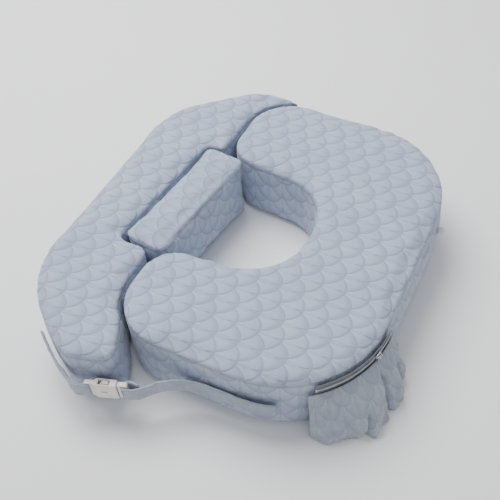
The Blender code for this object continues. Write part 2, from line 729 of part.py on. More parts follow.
def buckle_socket(frame):
    tall = BUCKLE_WIDTH / 2
    bar = BAR_THICK / 2
    thick = SOCKET_THICK / 2
    slot = -SOCKET_LENGTH + BAR_LENGTH
    opening = STRAP_WIDTH / 2 + SLOT_PLAY
    cavity = CAVITY_WIDTH / 2
    step = tall - BUCKLE_STEP
    depth = CAVITY_THICK / 2
    body = place("buckle_socket", box_mesh((-SOCKET_HEAD, -tall, -thick), (0, tall, thick)), "buckle", frame)
    soften(body, SOCKET_ROUND)
    shoulder = box_mesh((-SOCKET_LENGTH, -step, -bar), (-SOCKET_HEAD + SOCKET_ROUND, step, bar))
    combine(body, shoulder, "UNION")
    strap_slot = box_mesh((slot, -opening, -SOCKET_THICK), (slot + SLOT_LENGTH, opening, SOCKET_THICK))
    combine(body, strap_slot, "DIFFERENCE")
    mouth = box_mesh((-CAVITY_DEPTH, -cavity, -depth), (SOCKET_THICK, cavity, depth))
    combine(body, mouth, "DIFFERENCE")
    for side in (-1, 1):
        ends = sorted((side * (cavity - BUCKLE_STEP), side * (tall + BUCKLE_STEP)))
        window = box_mesh((WINDOW_START, ends[0], -depth), (WINDOW_END, ends[1], depth))
        combine(body, window, "DIFFERENCE")


def buckle_plug(frame):
    tall = BUCKLE_WIDTH / 2 - BUCKLE_STEP
    bar = BAR_THICK / 2
    opening = STRAP_WIDTH / 2 + SLOT_PLAY
    end = PLUG_BASE - BAR_LENGTH
    body = place("buckle_plug", box_mesh((GAP, -tall, -bar), (PLUG_BASE, tall, bar)), "buckle", frame)
    soften(body, PLUG_ROUND, segments=1)
    strap_slot = box_mesh((end - SLOT_LENGTH, -opening, -SOCKET_THICK), (end, opening, SOCKET_THICK))
    combine(body, strap_slot, "DIFFERENCE")
    wide = TONGUE_WIDTH / 2
    thick = ARM_THICK / 2
    combine(body, box_mesh((-TONGUE_LENGTH, -wide, -thick), (PLUG_ROUND, wide, thick)), "UNION")


def buckle_arm(name, frame, side):
    """One springy arm of the plug, from its root to the catch in the socket's side window."""
    outline = [(x, side * y) for x, y in ARM_PROFILE]
    root = empty(name + "_pivot", (BUCKLE.x, BUCKLE.y, STRAP_Z + side * ARM_PIVOT), frame.rotation_euler)
    place(name, prism_mesh([outline], -ARM_THICK / 2, ARM_THICK / 2), "buckle", root)


def buckle():
    """Local X runs to the plug's end, local Y is up and local Z faces away from the cushion."""
    heading = math.atan2(BUCKLE_ALONG.y, BUCKLE_ALONG.x)
    frame = empty("buckle_frame", (BUCKLE.x, BUCKLE.y, STRAP_Z), (math.pi / 2, 0, heading))
    buckle_socket(frame)
    buckle_plug(frame)
    buckle_arm("buckle_arm_upper", frame, 1)
    buckle_arm("buckle_arm_lower", frame, -1)


def centre_frame():
    """Puts the middle of the whole object's box over the origin."""
    bpy.context.view_layer.update()
    graph = bpy.context.evaluated_depsgraph_get()
    corners = []
    for obj in PARTS.objects:
        if obj.type == "MESH":
            seen = obj.evaluated_get(graph)
            corners += [seen.matrix_world @ v.co for v in seen.data.vertices]
    for axis in range(2):
        low = min(c[axis] for c in corners)
        high = max(c[axis] for c in corners)
        FRAME.location[axis] = -(low + high) / 2


clear_scene()
PARTS = new_collection("nursing_pillow")
CUTTERS = new_collection("cutters")
FRAME = bpy.data.objects.new("frame", None)
PARTS.objects.link(FRAME)

main_covers()
main_bands()
care_label()
zip_assembly()
pocket()
back_rest()
lumbar_block()
hinge_tape()
front_strap()
back_strap()
buckle()
centre_frame()
bpy.context.view_layer.update()
print("origin sits", tuple(round(-v, 6) for v in FRAME.location), "from the C's own middle line")
for moving in ("zip_slider_pivot", "zip_pull_pivot", "buckle_arm_upper_pivot", "buckle_arm_lower_pivot"):
    print(moving, tuple(round(v, 6) for v in bpy.data.objects[moving].matrix_world.translation))
print("hinge", tuple(round(v, 6) for v in (HINGE + FRAME.location.xy)))
print("buckle points out along", tuple(round(v, 6) for v in BUCKLE_OUT))
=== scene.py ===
# %% [markdown]
# # A nursing pillow, dressed cell by cell
# The pillow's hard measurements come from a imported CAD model, the frame. Each cell below
# dresses one part of it: a swollen cushion, a strap, a zip, a buckle. Nothing in the frame is
# moved, so every piece takes its place from the frame's own boxes and outlines.

# %% Load the frame
import math

import bmesh
import bpy
import numpy as np
from mathutils import Matrix, Vector, noise
from mathutils.bvhtree import BVHTree


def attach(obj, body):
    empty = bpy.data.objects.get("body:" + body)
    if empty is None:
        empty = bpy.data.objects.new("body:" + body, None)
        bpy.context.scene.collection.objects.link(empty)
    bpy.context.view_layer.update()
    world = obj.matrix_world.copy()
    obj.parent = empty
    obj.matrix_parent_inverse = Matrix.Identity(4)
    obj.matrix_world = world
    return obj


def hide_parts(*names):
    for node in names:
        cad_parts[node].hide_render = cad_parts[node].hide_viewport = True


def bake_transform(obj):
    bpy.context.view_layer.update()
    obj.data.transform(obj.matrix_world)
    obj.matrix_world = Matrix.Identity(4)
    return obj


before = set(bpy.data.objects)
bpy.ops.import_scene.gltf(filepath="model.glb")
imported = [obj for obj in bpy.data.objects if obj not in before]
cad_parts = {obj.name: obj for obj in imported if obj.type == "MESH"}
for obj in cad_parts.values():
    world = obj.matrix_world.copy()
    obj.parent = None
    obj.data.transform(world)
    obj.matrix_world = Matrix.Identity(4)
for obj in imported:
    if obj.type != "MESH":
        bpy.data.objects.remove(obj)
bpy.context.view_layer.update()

UP = Vector((0.0, 0.0, 1.0))

# %% [markdown]
# ## Camera, floor and light
# A pillow on a seamless pale floor under a big soft light shows its own creases. The camera is
# turned by hand from three vectors, because a look-at constraint would lose the slight roll.

# %% Camera
CAMERA_AZIMUTH = math.radians(-60)
CAMERA_ELEVATION = math.radians(49.5)
CAMERA_ROLL = math.radians(-4.5)
CAMERA_PLACE = Vector((-0.6390, -0.3548, 0.9284))
CAMERA_LENS = 53.28
SENSOR = 36.0


def make_camera():
    level = math.cos(CAMERA_ELEVATION)
    away = Vector((math.sin(CAMERA_AZIMUTH) * level, -math.cos(CAMERA_AZIMUTH) * level,
                   math.sin(CAMERA_ELEVATION)))
    right = (-away).cross(UP).normalized()
    top = right.cross(-away)
    rolled_right = math.cos(CAMERA_ROLL) * right + math.sin(CAMERA_ROLL) * top
    rolled_top = math.cos(CAMERA_ROLL) * top - math.sin(CAMERA_ROLL) * right
    data = bpy.data.cameras.new("camera")
    data.sensor_width = SENSOR
    data.lens = CAMERA_LENS
    camera = bpy.data.objects.new("camera", data)
    bpy.context.scene.collection.objects.link(camera)
    turn = Matrix((rolled_right, rolled_top, away)).transposed().to_4x4()
    camera.matrix_world = Matrix.Translation(CAMERA_PLACE) @ turn
    bpy.context.scene.camera = camera


make_camera()
print("camera looks down by", round(math.degrees(CAMERA_ELEVATION), 1), "degrees")

# %% Floor and lights
FLOOR_HALF = 4.0
FLOOR_DROP = 0.0006
FLOOR_PALE = (0.93, 0.93, 0.93, 1.0)
LIGHTS = [  # name, place, size, power
    ("big_soft_box", (0.5, 0.9, 1.9), 1.6, 62.0),
    ("low_fill", (-1.6, -1.2, 1.2), 1.4, 3.0),
]
SKY = (0.94, 0.96, 1.0)
SKY_STRENGTH = 0.60


def make_stage():
    mesh = bpy.data.meshes.new("floor")
    h = FLOOR_HALF
    corners = [(-h, -h), (h, -h), (h, h), (-h, h)]
    mesh.from_pydata([(x, y, -FLOOR_DROP) for x, y in corners], [], [(0, 1, 2, 3)])
    floor = bpy.data.objects.new("floor", mesh)
    bpy.context.scene.collection.objects.link(floor)
    paint = bpy.data.materials.new("floor")
    paint.use_nodes = True
    shader = paint.node_tree.nodes["Principled BSDF"]
    shader.inputs["Base Color"].default_value = FLOOR_PALE
    shader.inputs["Roughness"].default_value = 0.9
    mesh.materials.append(paint)
    for name, place, size, power in LIGHTS:
        lamp = bpy.data.lights.new(name, "AREA")
        lamp.shape = "DISK"
        lamp.size = size
        lamp.energy = power
        obj = bpy.data.objects.new(name, lamp)
        obj.location = place
        obj.rotation_euler = Vector(place).to_track_quat("Z", "Y").to_euler()
        bpy.context.scene.collection.objects.link(obj)
    world = bpy.data.worlds.new("sky")
    world.use_nodes = True
    world.node_tree.nodes["Background"].inputs["Color"].default_value = (*SKY, 1.0)
    world.node_tree.nodes["Background"].inputs["Strength"].default_value = SKY_STRENGTH
    bpy.context.scene.world = world


make_stage()
print("floor and", len(LIGHTS), "lights")

# %% [markdown]
# ## A small language for materials
# A material is a graph of nodes. Wrapping a socket in a class lets Python's own operators add
# Math nodes, so a pattern reads like a formula instead of a page of wiring.

# %% Socket arithmetic
class Value:
    """A node's output, on which sums can be done."""

    def __init__(self, look, socket):
        self.look = look
        self.socket = socket

    def __add__(self, other):
        return self.look.math("ADD", self, other)

    __radd__ = __add__

    def __mul__(self, other):
        return self.look.math("MULTIPLY", self, other)

    __rmul__ = __mul__

    def __sub__(self, other):
        return self.look.math("SUBTRACT", self, other)

    def __rsub__(self, other):
        return self.look.math("SUBTRACT", other, self)

    def __truediv__(self, other):
        return self.look.math("DIVIDE", self, other)


class Look:
    """One material around its Principled shader."""

    def __init__(self, name, **constants):
        self.material = bpy.data.materials.new(name)
        self.material.use_nodes = True
        self.tree = self.material.node_tree
        self.shader = self.tree.nodes["Principled BSDF"]
        for key, value in constants.items():
            self.shader.inputs[key.replace("_", " ")].default_value = value

    def node(self, kind, settings=None, values=None, output=0):
        """Any node: its settings first, then its sockets' values or links."""
        made = self.tree.nodes.new(kind)
        for key, value in (settings or {}).items():
            setattr(made, key, value)
        for key, value in (values or {}).items():
            self.plug(made.inputs[key], value)
        return Value(self, made.outputs[output])

    def plug(self, socket, value):
        if isinstance(value, Value):
            self.tree.links.new(value.socket, socket)
        else:
            socket.default_value = value

    def math(self, operation, first, second=0.0):
        return self.node("ShaderNodeMath", {"operation": operation}, {0: first, 1: second})

    def ramp(self, value, low, high):
        """0 below low, 1 above high, smooth between; low may be above high."""
        settings = {"interpolation_type": "SMOOTHSTEP"}
        return self.node("ShaderNodeMapRange", settings, {"Value": value, "From Min": low, "From Max": high})

    def mix(self, share, first, second):
        values = {0: share, 6: first, 7: second}
        return self.node("ShaderNodeMix", {"data_type": "RGBA"}, values, output=2)

    def parts(self, vector):
        split = self.tree.nodes.new("ShaderNodeSeparateXYZ")
        self.plug(split.inputs[0], vector)
        return [Value(self, out) for out in split.outputs]

    def noise(self, scale, detail=2.0, where=None):
        where = where or self.node("ShaderNodeTexCoord", output=3)
        return self.node("ShaderNodeTexNoise", values={"Vector": where, "Scale": scale, "Detail": detail})

    def attribute(self, name):
        return self.node("ShaderNodeAttribute", {"attribute_name": name}, output=2)

    def bump(self, height, distance, strength=1.0, under=None):
        values = {"Height": height, "Distance": distance, "Strength": strength}
        if under:
            values["Normal"] = under
        return self.node("ShaderNodeBump", values=values)

    def finish(self, **links):
        for key, value in links.items():
            self.plug(self.shader.inputs[key.replace("_", " ")], value)
        return self.material


print("material helpers ready")

# %% [markdown]
# ## The cover fabric
# The cover is a light jersey printed and puffed in fish scales. Each scale is 53 mm wide, the
# columns stand half a scale apart, and every second column is half a row lower. White dotted
# ribs fan out from the top of each scale. The same sums are written twice: once for numbers,
# which raise the mesh, and once for nodes, which colour it with the print and with painted
# shade under each scale's rim, so relief and colour agree.

# %% The scale pattern
SCALE_HALF = 0.0266         # half the width of one scale
SCALE_ROW = 0.0341          # from one row to the next
SCALE_START = (-0.1340, 0.0235)
ROW_SLOPE = 0.105           # how far the rows tilt
RIM_OF = (-0.22, 0.20)      # the two columns' rims, in rows below the start
RIM_CURVE = 0.98


def scales(u, v):
    """Rows from each point down to the rim of the scale that shows there, and which column it is."""
    column = (u - SCALE_START[0]) / SCALE_HALF
    row = -(v - SCALE_START[1] + ROW_SLOPE * (u - SCALE_START[0])) / SCALE_ROW
    ahead = []
    for side in (0, 1):
        lane = (column - side) / 2
        across = 2 * (lane - np.round(lane))
        rise = 1 - np.sqrt(1 - RIM_CURVE * across ** 2)
        ahead.append((RIM_OF[side] - rise - row) % 1.0)
    return np.minimum(*ahead), ahead[0] < ahead[1]


def scale_relief(u, v):
    """How far the fabric stands up, from 0 in the crease under a rim to 1."""
    to_rim, even = scales(u, v)
    fall = np.where(even, 0.30, 0.16)
    lip = 1 - np.exp(-to_rim / fall * 1.6)
    return lip * (1 - 0.35 * to_rim)


RIB_TURNS = 20              # ribs per half turn
RIB_WIDTH = 0.00042
DOT_STEP = 0.0024
SPOT_SIZE = 0.0030


def add_scales(look, share=1.0):
    """The same scales as node sums. Gives painted shade at the rims, print and height."""
    u, v, _ = look.parts(look.node("ShaderNodeUVMap", {"uv_map": "cloth"}))
    column = (u - SCALE_START[0]) / SCALE_HALF
    row = (SCALE_START[1] - v - (u - SCALE_START[0]) * ROW_SLOPE) / SCALE_ROW
    found = []
    for side in (0, 1):
        lane = (column - side) / 2
        across = (lane - look.math("ROUND", lane)) * 2
        rise = 1 - look.math("SQRT", 1 - across * across * RIM_CURVE)
        ahead = look.math("FRACT", RIM_OF[side] - rise - row)
        below = (1 - ahead - rise) * SCALE_ROW
        aside = across * SCALE_HALF
        found.append((ahead, aside, below))
    odd = look.math("GREATER_THAN", found[0][0], found[1][0])

    def shown(index):
        return found[0][index] + (found[1][index] - found[0][index]) * odd

    ahead, aside, below = shown(0), shown(1), shown(2)
    reach = look.math("SQRT", aside * aside + below * below)
    turn = look.math("ARCTAN2", aside, below)
    to_rib = look.math("ABSOLUTE", look.math("SINE", turn * RIB_TURNS)) * reach / RIB_TURNS
    rib = look.ramp(to_rib, RIB_WIDTH, RIB_WIDTH * 0.45)
    dots = look.ramp(look.math("SINE", reach * (2 * math.pi / DOT_STEP)), -0.5, 0.3)
    inside = look.ramp(reach, 0.0235, 0.0205)
    spot = look.ramp(reach, SPOT_SIZE, 0.0006) * (1 - odd * 0.65)
    # Painted shade: the colour darkens just above each scale's rim, where the scale curves down, broadly on
    # one column and narrowly on the other; edge is a thin painted shade line along the rim itself.
    fall = 0.34 - odd * 0.17
    painted_rim_shade = look.ramp(ahead / fall, 1.0, 0.0)
    edge = look.ramp(ahead, 0.055, 0.0)
    height = look.ramp(ahead / (fall * 0.9), 0.0, 1.0)
    inked = look.math("MAXIMUM", rib * dots * inside * 0.72, spot)
    return painted_rim_shade * share, inked, height * (1 - ahead * 0.35), edge * share


print("scale rows every", SCALE_ROW, "m")

# %% Fabric materials
FABRIC_GRAIN = 1500.0


def fabric(name, dark, light, ink, share=1.0, ink_share=1.0):
    """Printed jersey: mottled between two tones, painted shade at the scales' rims and in the seam creases,
    dotted ribs.
    """
    look = Look(name, Roughness=0.88, Sheen_Weight=0.22, Sheen_Roughness=0.5, Specular_IOR_Level=0.25)
    painted_rim_shade, inked, height, edge = add_scales(look, share)
    cloud = look.noise(14.0, 3.0)
    grain = look.noise(FABRIC_GRAIN, 2.0)
    tone = look.mix(look.ramp(cloud * 0.75 + grain * 0.25, 0.30, 0.72), (*dark, 1.0), (*light, 1.0))
    # Painted shade: a darker copy of the cloth's tone is mixed in at the scale rims.
    rim = [c * 0.66 for c in dark]
    tone = look.mix(painted_rim_shade * 0.42 + edge * 0.30, tone, (*rim, 1.0))
    tone = look.mix(inked * ink_share, tone, (*ink, 1.0))
    # Painted shade: the cloth darkens in the seam creases, read from the seam attribute.
    seam = look.attribute("seam")
    tone = look.mix(seam * 0.55, tone, (*[c * 0.45 for c in dark], 1.0))
    weave = look.bump(grain, 0.0002, 0.8)
    puff = look.bump(height, 0.0011, 0.75 * share, under=weave)
    rough = 0.84 + grain * 0.12 - inked * 0.05
    return look.finish(Base_Color=tone, Roughness=rough, Normal=puff)


COVER = fabric("printed_cover", (0.352, 0.412, 0.540), (0.412, 0.472, 0.605), (0.80, 0.83, 0.88))
# Painted shade: the strap, the hinge cloth that shares its material, and the pouch are the cover's own cloth
# in darker copies, with darker ink.
STRAP_CLOTH_PAINTED_SHADE = fabric("folded_strap_cloth_painted_shade", (0.300, 0.335, 0.400), (0.375, 0.415, 0.485), (0.66, 0.69, 0.74),
               0.45, 0.6)
POUCH_CLOTH_PAINTED_SHADE = fabric("pouch_cloth_painted_shade", (0.325, 0.360, 0.430), (0.390, 0.430, 0.505), (0.74, 0.76, 0.81), 0.6, 0.9)
print("fabrics:", COVER.name, STRAP_CLOTH_PAINTED_SHADE.name, POUCH_CLOTH_PAINTED_SHADE.name)

# %% Hard and woven finishes


def woven(name, dark, light):
    look = Look(name, Roughness=0.8, Specular_IOR_Level=0.25)
    x, y, z = look.parts(look.node("ShaderNodeTexCoord", output=3))
    rows = look.math("SINE", z * 6800.0)
    turns = look.math("SINE", (x - y) * 4200.0)
    twill = look.ramp(rows * turns, -0.6, 0.6)
    tone = look.mix(twill, (*dark, 1.0), (*light, 1.0))
    tone = look.mix(look.ramp(look.noise(60.0), 0.35, 0.75) * 0.35, tone, (*[c * 0.7 for c in dark], 1.0))
    return look.finish(Base_Color=tone, Normal=look.bump(twill, 0.00012, 0.8), Roughness=0.74 + twill * 0.12)


def metal(name, colour, rough):
    look = Look(name, Metallic=0.9, Roughness=rough)
    wear = look.noise(420.0, 3.0)
    tone = look.mix(look.ramp(wear, 0.35, 0.75), (*colour, 1.0), (*[c * 0.72 for c in colour], 1.0))
    return look.finish(Base_Color=tone, Roughness=rough + wear * 0.18, Normal=look.bump(wear, 0.00004, 0.5))


def plastic(name, colour, shaded, rough):
    """Moulded plastic: a fine spark-eroded grain and a little cloudiness that is darker and duller."""
    look = Look(name, Roughness=rough, Coat_Roughness=0.25, IOR=1.49)
    grain = look.noise(2600.0, 2.0)
    cloud = look.noise(55.0, 3.0)
    tone = look.mix(look.ramp(cloud, 0.3, 0.8), (*colour, 1.0), (*shaded, 1.0))
    finish = rough + grain * 0.10 + cloud * 0.06
    return look.finish(Base_Color=tone, Roughness=finish, Normal=look.bump(grain, 0.00003, 0.6))


def satin(name, colour):
    look = Look(name, Roughness=0.5, Sheen_Weight=0.3)
    x, y, z = look.parts(look.node("ShaderNodeTexCoord", output=3))
    thread = look.math("SINE", z * 9000.0)
    cloud = look.noise(90.0)
    shaded = [c * 0.9 for c in colour]
    tone = look.mix(look.ramp(thread * 0.3 + cloud, 0.2, 0.9), (*shaded, 1.0), (*colour, 1.0))
    return look.finish(Base_Color=tone, Roughness=0.45 + cloud * 0.2, Normal=look.bump(thread, 0.00003, 0.5))


ZIP_CLOTH = woven("zip_tape_weave", (0.130, 0.132, 0.140), (0.210, 0.215, 0.230))
ZIP_METAL = metal("zip_satin_metal", (0.62, 0.66, 0.72), 0.30)
TOOTH = plastic("zip_teeth_plastic", (0.55, 0.60, 0.66), (0.44, 0.48, 0.54), 0.35)
IVORY = plastic("ivory_buckle_plastic", (0.80, 0.775, 0.72), (0.72, 0.69, 0.63), 0.30)
LABEL = satin("blank_satin_ribbon", (0.88, 0.88, 0.88))
THREAD = satin("grey_thread", (0.50, 0.54, 0.60))
print("hard finishes ready")

# %% [markdown]
# ## Mesh helpers
# Every finished piece sits at the origin with its place in its mesh. The helpers here make an
# object from vertices, bake its modifiers into a plain mesh, and hang it on a body.


def new_object(name, mesh):
    obj = bpy.data.objects.new(name, mesh)
    bpy.context.scene.collection.objects.link(obj)
    return obj


def mesh_object(name, points, faces, smooth=True):
    mesh = bpy.data.meshes.new(name)
    mesh.from_pydata([tuple(p) for p in points], [], faces)
    mesh.validate()
    if smooth:
        mesh.shade_smooth()
    return new_object(name, mesh)


def bake(obj):
    """Turns the object's modifiers into a plain mesh."""
    graph = bpy.context.evaluated_depsgraph_get()
    graph.update()
    mesh = bpy.data.meshes.new_from_object(obj.evaluated_get(graph))
    obj.modifiers.clear()
    obj.data = mesh
    mesh.name = obj.name
    return obj


def add(obj, name, kind, **settings):
    made = obj.modifiers.new(name, kind)
    for key, value in settings.items():
        setattr(made, key, value)
    return made


def coordinates(mesh):
    flat = np.empty(len(mesh.vertices) * 3)
    mesh.vertices.foreach_get("co", flat)
    return flat.reshape(-1, 3)


def move_to(mesh, points):
    mesh.vertices.foreach_set("co", np.ascontiguousarray(points, dtype=np.float64).ravel())
    mesh.update()


def normals(mesh):
    flat = np.empty(len(mesh.vertices) * 3)
    mesh.vertex_normals.foreach_get("vector", flat)
    return flat.reshape(-1, 3)


def wobble(points, scale, seed=0.0):
    """Smooth noise from -1 to 1 at each point."""
    return np.array([noise.noise(Vector(p) * scale + Vector((seed, seed, seed))) for p in points])


def dress(obj, paint, body, slot, *nodes):
    """Gives a piece its material, its body and the nodes that it stands for; its slot is not used."""
    obj.data.materials.clear()
    obj.data.materials.append(paint)
    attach(obj, body)
    if nodes:
        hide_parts(*nodes)
    print(obj.name, "rides on", body, "with", len(obj.data.polygons), "faces")
    return obj


print("mesh helpers ready")

# %% [markdown]
# ## The cushions
# A foam cushion in a sewn cover is a block whose top swells, whose edges round over, and whose
# seams pull in. Each one starts from its CAD foam core, which is a little smaller than the
# cover. It is remeshed into even squares, softened, and blown up as cloth by a slight pressure.
# The movement is capped, so that the cushion stays in its own space. Then come the seams'
# creases and puckers, the scales' relief and a cloth map that unfolds the cover.

# %% Outlines from the frame
WALL_FACE = 0.02
LOW_RING = 0.012


def merged(node):
    """A copy of a CAD node's mesh with its loose triangles joined."""
    bm = bmesh.new()
    bm.from_mesh(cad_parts[node].data)
    bmesh.ops.remove_doubles(bm, verts=bm.verts, dist=0.00002)
    bmesh.ops.dissolve_limit(bm, angle_limit=0.002, verts=bm.verts, edges=bm.edges)
    bm.normal_update()
    return bm


def outline_of(node):
    """The closed line round the foot of a core's walls, counter-clockwise."""
    bm = merged(node)
    links = {}
    for edge in bm.edges:
        walls = [abs(face.normal.z) < WALL_FACE for face in edge.link_faces]
        low = all(v.co.z < LOW_RING for v in edge.verts)
        if low and walls.count(True) == 1:
            a, b = edge.verts
            links.setdefault(a.index, []).append(b.index)
            links.setdefault(b.index, []).append(a.index)
    bm.verts.ensure_lookup_table()
    start = next(iter(links))
    walk = [start]
    previous, here = None, start
    while True:
        step = [n for n in links[here] if n != previous][0]
        if step == start:
            break
        walk.append(step)
        previous, here = here, step
    ring = np.array([bm.verts[i].co.xy for i in walk])
    bm.free()
    x, y = ring.T
    area = np.sum(x * np.roll(y, -1) - np.roll(x, -1) * y)
    return ring if area > 0 else ring[::-1]


def along_outline(ring, flat):
    """For each plan point: its place along the outline and the outline's outward direction."""
    ahead = np.roll(ring, -1, axis=0) - ring
    length = np.linalg.norm(ahead, axis=1)
    begin = np.concatenate([[0.0], np.cumsum(length)[:-1]])
    best = np.full(len(flat), 1e9)
    place = np.zeros(len(flat))
    outward = np.zeros((len(flat), 2))
    for i in range(len(ring)):
        to = flat - ring[i]
        share = np.clip(to @ ahead[i] / length[i] ** 2, 0.0, 1.0)
        gap = np.linalg.norm(to - share[:, None] * ahead[i], axis=1)
        closer = gap < best
        best[closer] = gap[closer]
        place[closer] = begin[i] + share[closer] * length[i]
        outward[closer] = (ahead[i][1] / length[i], -ahead[i][0] / length[i])
    return place, outward


CORES = ("main_foam_core", "back_foam_core", "lumbar_foam_core")
print("outline points:", {core: len(outline_of(core)) for core in CORES})

# %% Blowing a cushion up
PRESSURE = 4.0
SIM_FRAMES = 20


def soft_block(name, node, voxel, softening):
    bm = merged(node)
    mesh = bpy.data.meshes.new(name)
    bm.to_mesh(mesh)
    bm.free()
    obj = new_object(name, mesh)
    add(obj, "even squares", "REMESH", mode="VOXEL", voxel_size=voxel, use_smooth_shade=True)
    add(obj, "rounded edges", "SMOOTH", factor=0.5, iterations=softening)
    return bake(obj)


def blow_up(obj, side_cap, top_cap):
    """Cloth pressure, with the movement capped sideways and upwards."""
    start = coordinates(obj.data)
    cloth = obj.modifiers.new("filling", "CLOTH")
    cloth.settings.use_pressure = True
    cloth.settings.uniform_pressure_force = PRESSURE
    cloth.settings.effector_weights.gravity = 0.0
    cloth.settings.quality = 5
    cloth.point_cache.frame_start = 1
    cloth.point_cache.frame_end = SIM_FRAMES
    for step in range(1, SIM_FRAMES + 1):
        bpy.context.scene.frame_set(step)
    graph = bpy.context.evaluated_depsgraph_get()
    moved = coordinates(obj.evaluated_get(graph).data) - start
    obj.modifiers.clear()
    bpy.context.scene.frame_set(1)
    sideways = np.linalg.norm(moved[:, :2], axis=1) + 1e-9
    upwards = np.abs(moved[:, 2]) + 1e-9
    moved[:, :2] *= (side_cap * np.tanh(sideways / side_cap) / sideways)[:, None]
    moved[:, 2] *= top_cap * np.tanh(upwards / top_cap) / upwards
    points = start + moved
    points[:, 2] = np.maximum(points[:, 2], 0.0004)
    move_to(obj.data, points)
    print(obj.name, "moved by up to", round(float(np.abs(moved).max()) * 1000, 1), "mm")


print("pressure", PRESSURE, "over", SIM_FRAMES, "frames")

# %% Seams, relief and the cloth map
BOTTOM_SEAM = 0.0083
SEAM_WIDTH = 0.0022
SEAM_DEPTH = 0.0013
PUCKER_STEP = 0.0075
TOP_FACE = 0.55             # a face that leans less than this is wall
PATTERN_HEIGHT = 0.0004


def sew(obj, ring, top_z, seam_z, turn=0.0, pucker=0.0006, folds=0.0006, seed=0.0):
    """Creases the seams, puckers the cloth beside them, and raises the scales."""
    mesh = obj.data
    points = coordinates(mesh)
    out = normals(mesh)
    place, aside = along_outline(ring, points[:, :2])
    z = points[:, 2]
    wall = np.clip(1 - np.abs(out[:, 2]) / 0.75, 0.0, 1.0)
    push = np.zeros(len(points))
    seam_crease_shade = np.zeros(len(points))
    sway = wobble(np.column_stack([place * 0.5, place * 0, place * 0]), 60.0, seed)
    gathers = np.sin(2 * math.pi * place / PUCKER_STEP + 2.6 * sway)
    for height, strength in ((seam_z, 1.0), (BOTTOM_SEAM, 0.8)):
        far = np.abs(z - height)
        crease = np.exp(-(far / SEAM_WIDTH) ** 2)
        push -= SEAM_DEPTH * strength * crease * np.maximum(wall, 0.3)
        push += pucker * gathers * np.exp(-far / 0.006) * wall * (0.6 + 0.4 * sway)
        seam_crease_shade = np.maximum(seam_crease_shade, crease * strength)
    drape = wobble(np.column_stack([place * 28.0, z * 9.0, place * 0]), 1.0, seed + 3.0)
    push += folds * drape * wall
    u, v = cloth_place(points, place, aside, out[:, 2], top_z, seam_z, turn)
    flat = np.clip((out[:, 2] - 0.2) / 0.5, 0.0, 1.0)
    relief = scale_relief(u, v) - 0.75
    push += PATTERN_HEIGHT * relief * (0.35 + 0.65 * flat)
    slow = wobble(points, 17.0, seed + 7.0)
    push += 0.0009 * slow * flat
    points = points + out * push[:, None]
    points[:, 2] = np.maximum(points[:, 2], 0.0003)
    move_to(mesh, points)
    # The crease mask is stored here for the painted shade in the seam grooves.
    seam = mesh.attributes.new("seam", "FLOAT", "POINT")
    seam.data.foreach_set("value", seam_crease_shade * np.maximum(wall, 0.0))


def cloth_place(points, place, aside, lean, top_z, seam_z, turn):
    """Where each point lies on the flat cloth, in metres."""
    drop = np.clip(top_z - points[:, 2], 0.0, None)
    wrapped = points[:, :2] + aside * drop[:, None]
    c, s = math.cos(turn), math.sin(turn)
    top_u = wrapped[:, 0] * c - wrapped[:, 1] * s
    top_v = wrapped[:, 0] * s + wrapped[:, 1] * c
    upper = points[:, 2] > seam_z
    edge = (drop > 0.006) | (np.abs(lean) < TOP_FACE)
    u = np.where(upper & edge, top_u, np.where(upper, points[:, 0] * c - points[:, 1] * s, place))
    v = np.where(upper & edge, top_v, np.where(upper, points[:, 0] * s + points[:, 1] * c, points[:, 2]))
    return u, v


def cloth_map(obj, ring, top_z, seam_z, turn=0.0):
    """A UV map in metres: the top unrolled over its edge, the walls by length and height."""
    mesh = obj.data
    points = coordinates(mesh)
    out = normals(mesh)
    place, aside = along_outline(ring, points[:, :2])
    total = np.sum(np.linalg.norm(np.roll(ring, -1, axis=0) - ring, axis=1))
    corner = np.empty(len(mesh.loops), dtype=np.int64)
    mesh.loops.foreach_get("vertex_index", corner)
    starts = np.empty(len(mesh.polygons), dtype=np.int64)
    mesh.polygons.foreach_get("loop_start", starts)
    counts = np.empty(len(mesh.polygons), dtype=np.int64)
    mesh.polygons.foreach_get("loop_total", counts)
    face_of = np.repeat(np.arange(len(counts)), counts)
    centre_z = np.bincount(face_of, points[corner, 2]) / counts
    lean = np.bincount(face_of, out[corner, 2]) / counts
    first = place[corner[starts]]
    around = place[corner]
    around = np.where(around - first[face_of] > total / 2, around - total, around)
    around = np.where(first[face_of] - around > total / 2, around + total, around)
    drop = np.clip(top_z - points[:, 2], 0.0, None)
    over = np.clip(drop - 0.004, 0.0, None)
    wrapped = points[:, :2] + aside * over[:, None]
    c, s = math.cos(turn), math.sin(turn)
    top_uv = np.column_stack([wrapped[:, 0] * c - wrapped[:, 1] * s, wrapped[:, 0] * s + wrapped[:, 1] * c])
    upper = (centre_z > seam_z)[face_of]
    under = (lean < -TOP_FACE)[face_of]
    uv = np.where(upper[:, None], top_uv[corner], np.column_stack([around, points[corner, 2]]))
    uv = np.where(under[:, None], points[corner, :2], uv)
    layer = mesh.uv_layers.new(name="cloth")
    layer.data.foreach_set("uv", uv.astype(np.float32).ravel())


print("seams at", BOTTOM_SEAM, "m and just under each top")

# %% The three cushions
TOP = 0.115                 # the C's and the back rest's
LUMBAR_TOP = 0.117
SEAM_DROP = 0.014           # each upper seam, below its top
BLOCK_CAPS = (0.0022, 0.0040)   # how far a cushion may swell, sideways and upwards
LUMBAR_CAPS = (0.0026, 0.0035)
ZIP_CENTRE = np.array([-0.074831, -0.076470])
ZIP_RADIUS = 0.160
ZIP_Z = 0.092
ZIP_FROM, ZIP_TO = math.radians(-141), math.radians(-89)
ZIP_HALF = 0.0085
BEHIND_TAPE = 0.1572        # the cover's reach behind the tapes
BELOW_TAPE = 0.1592         # and under them


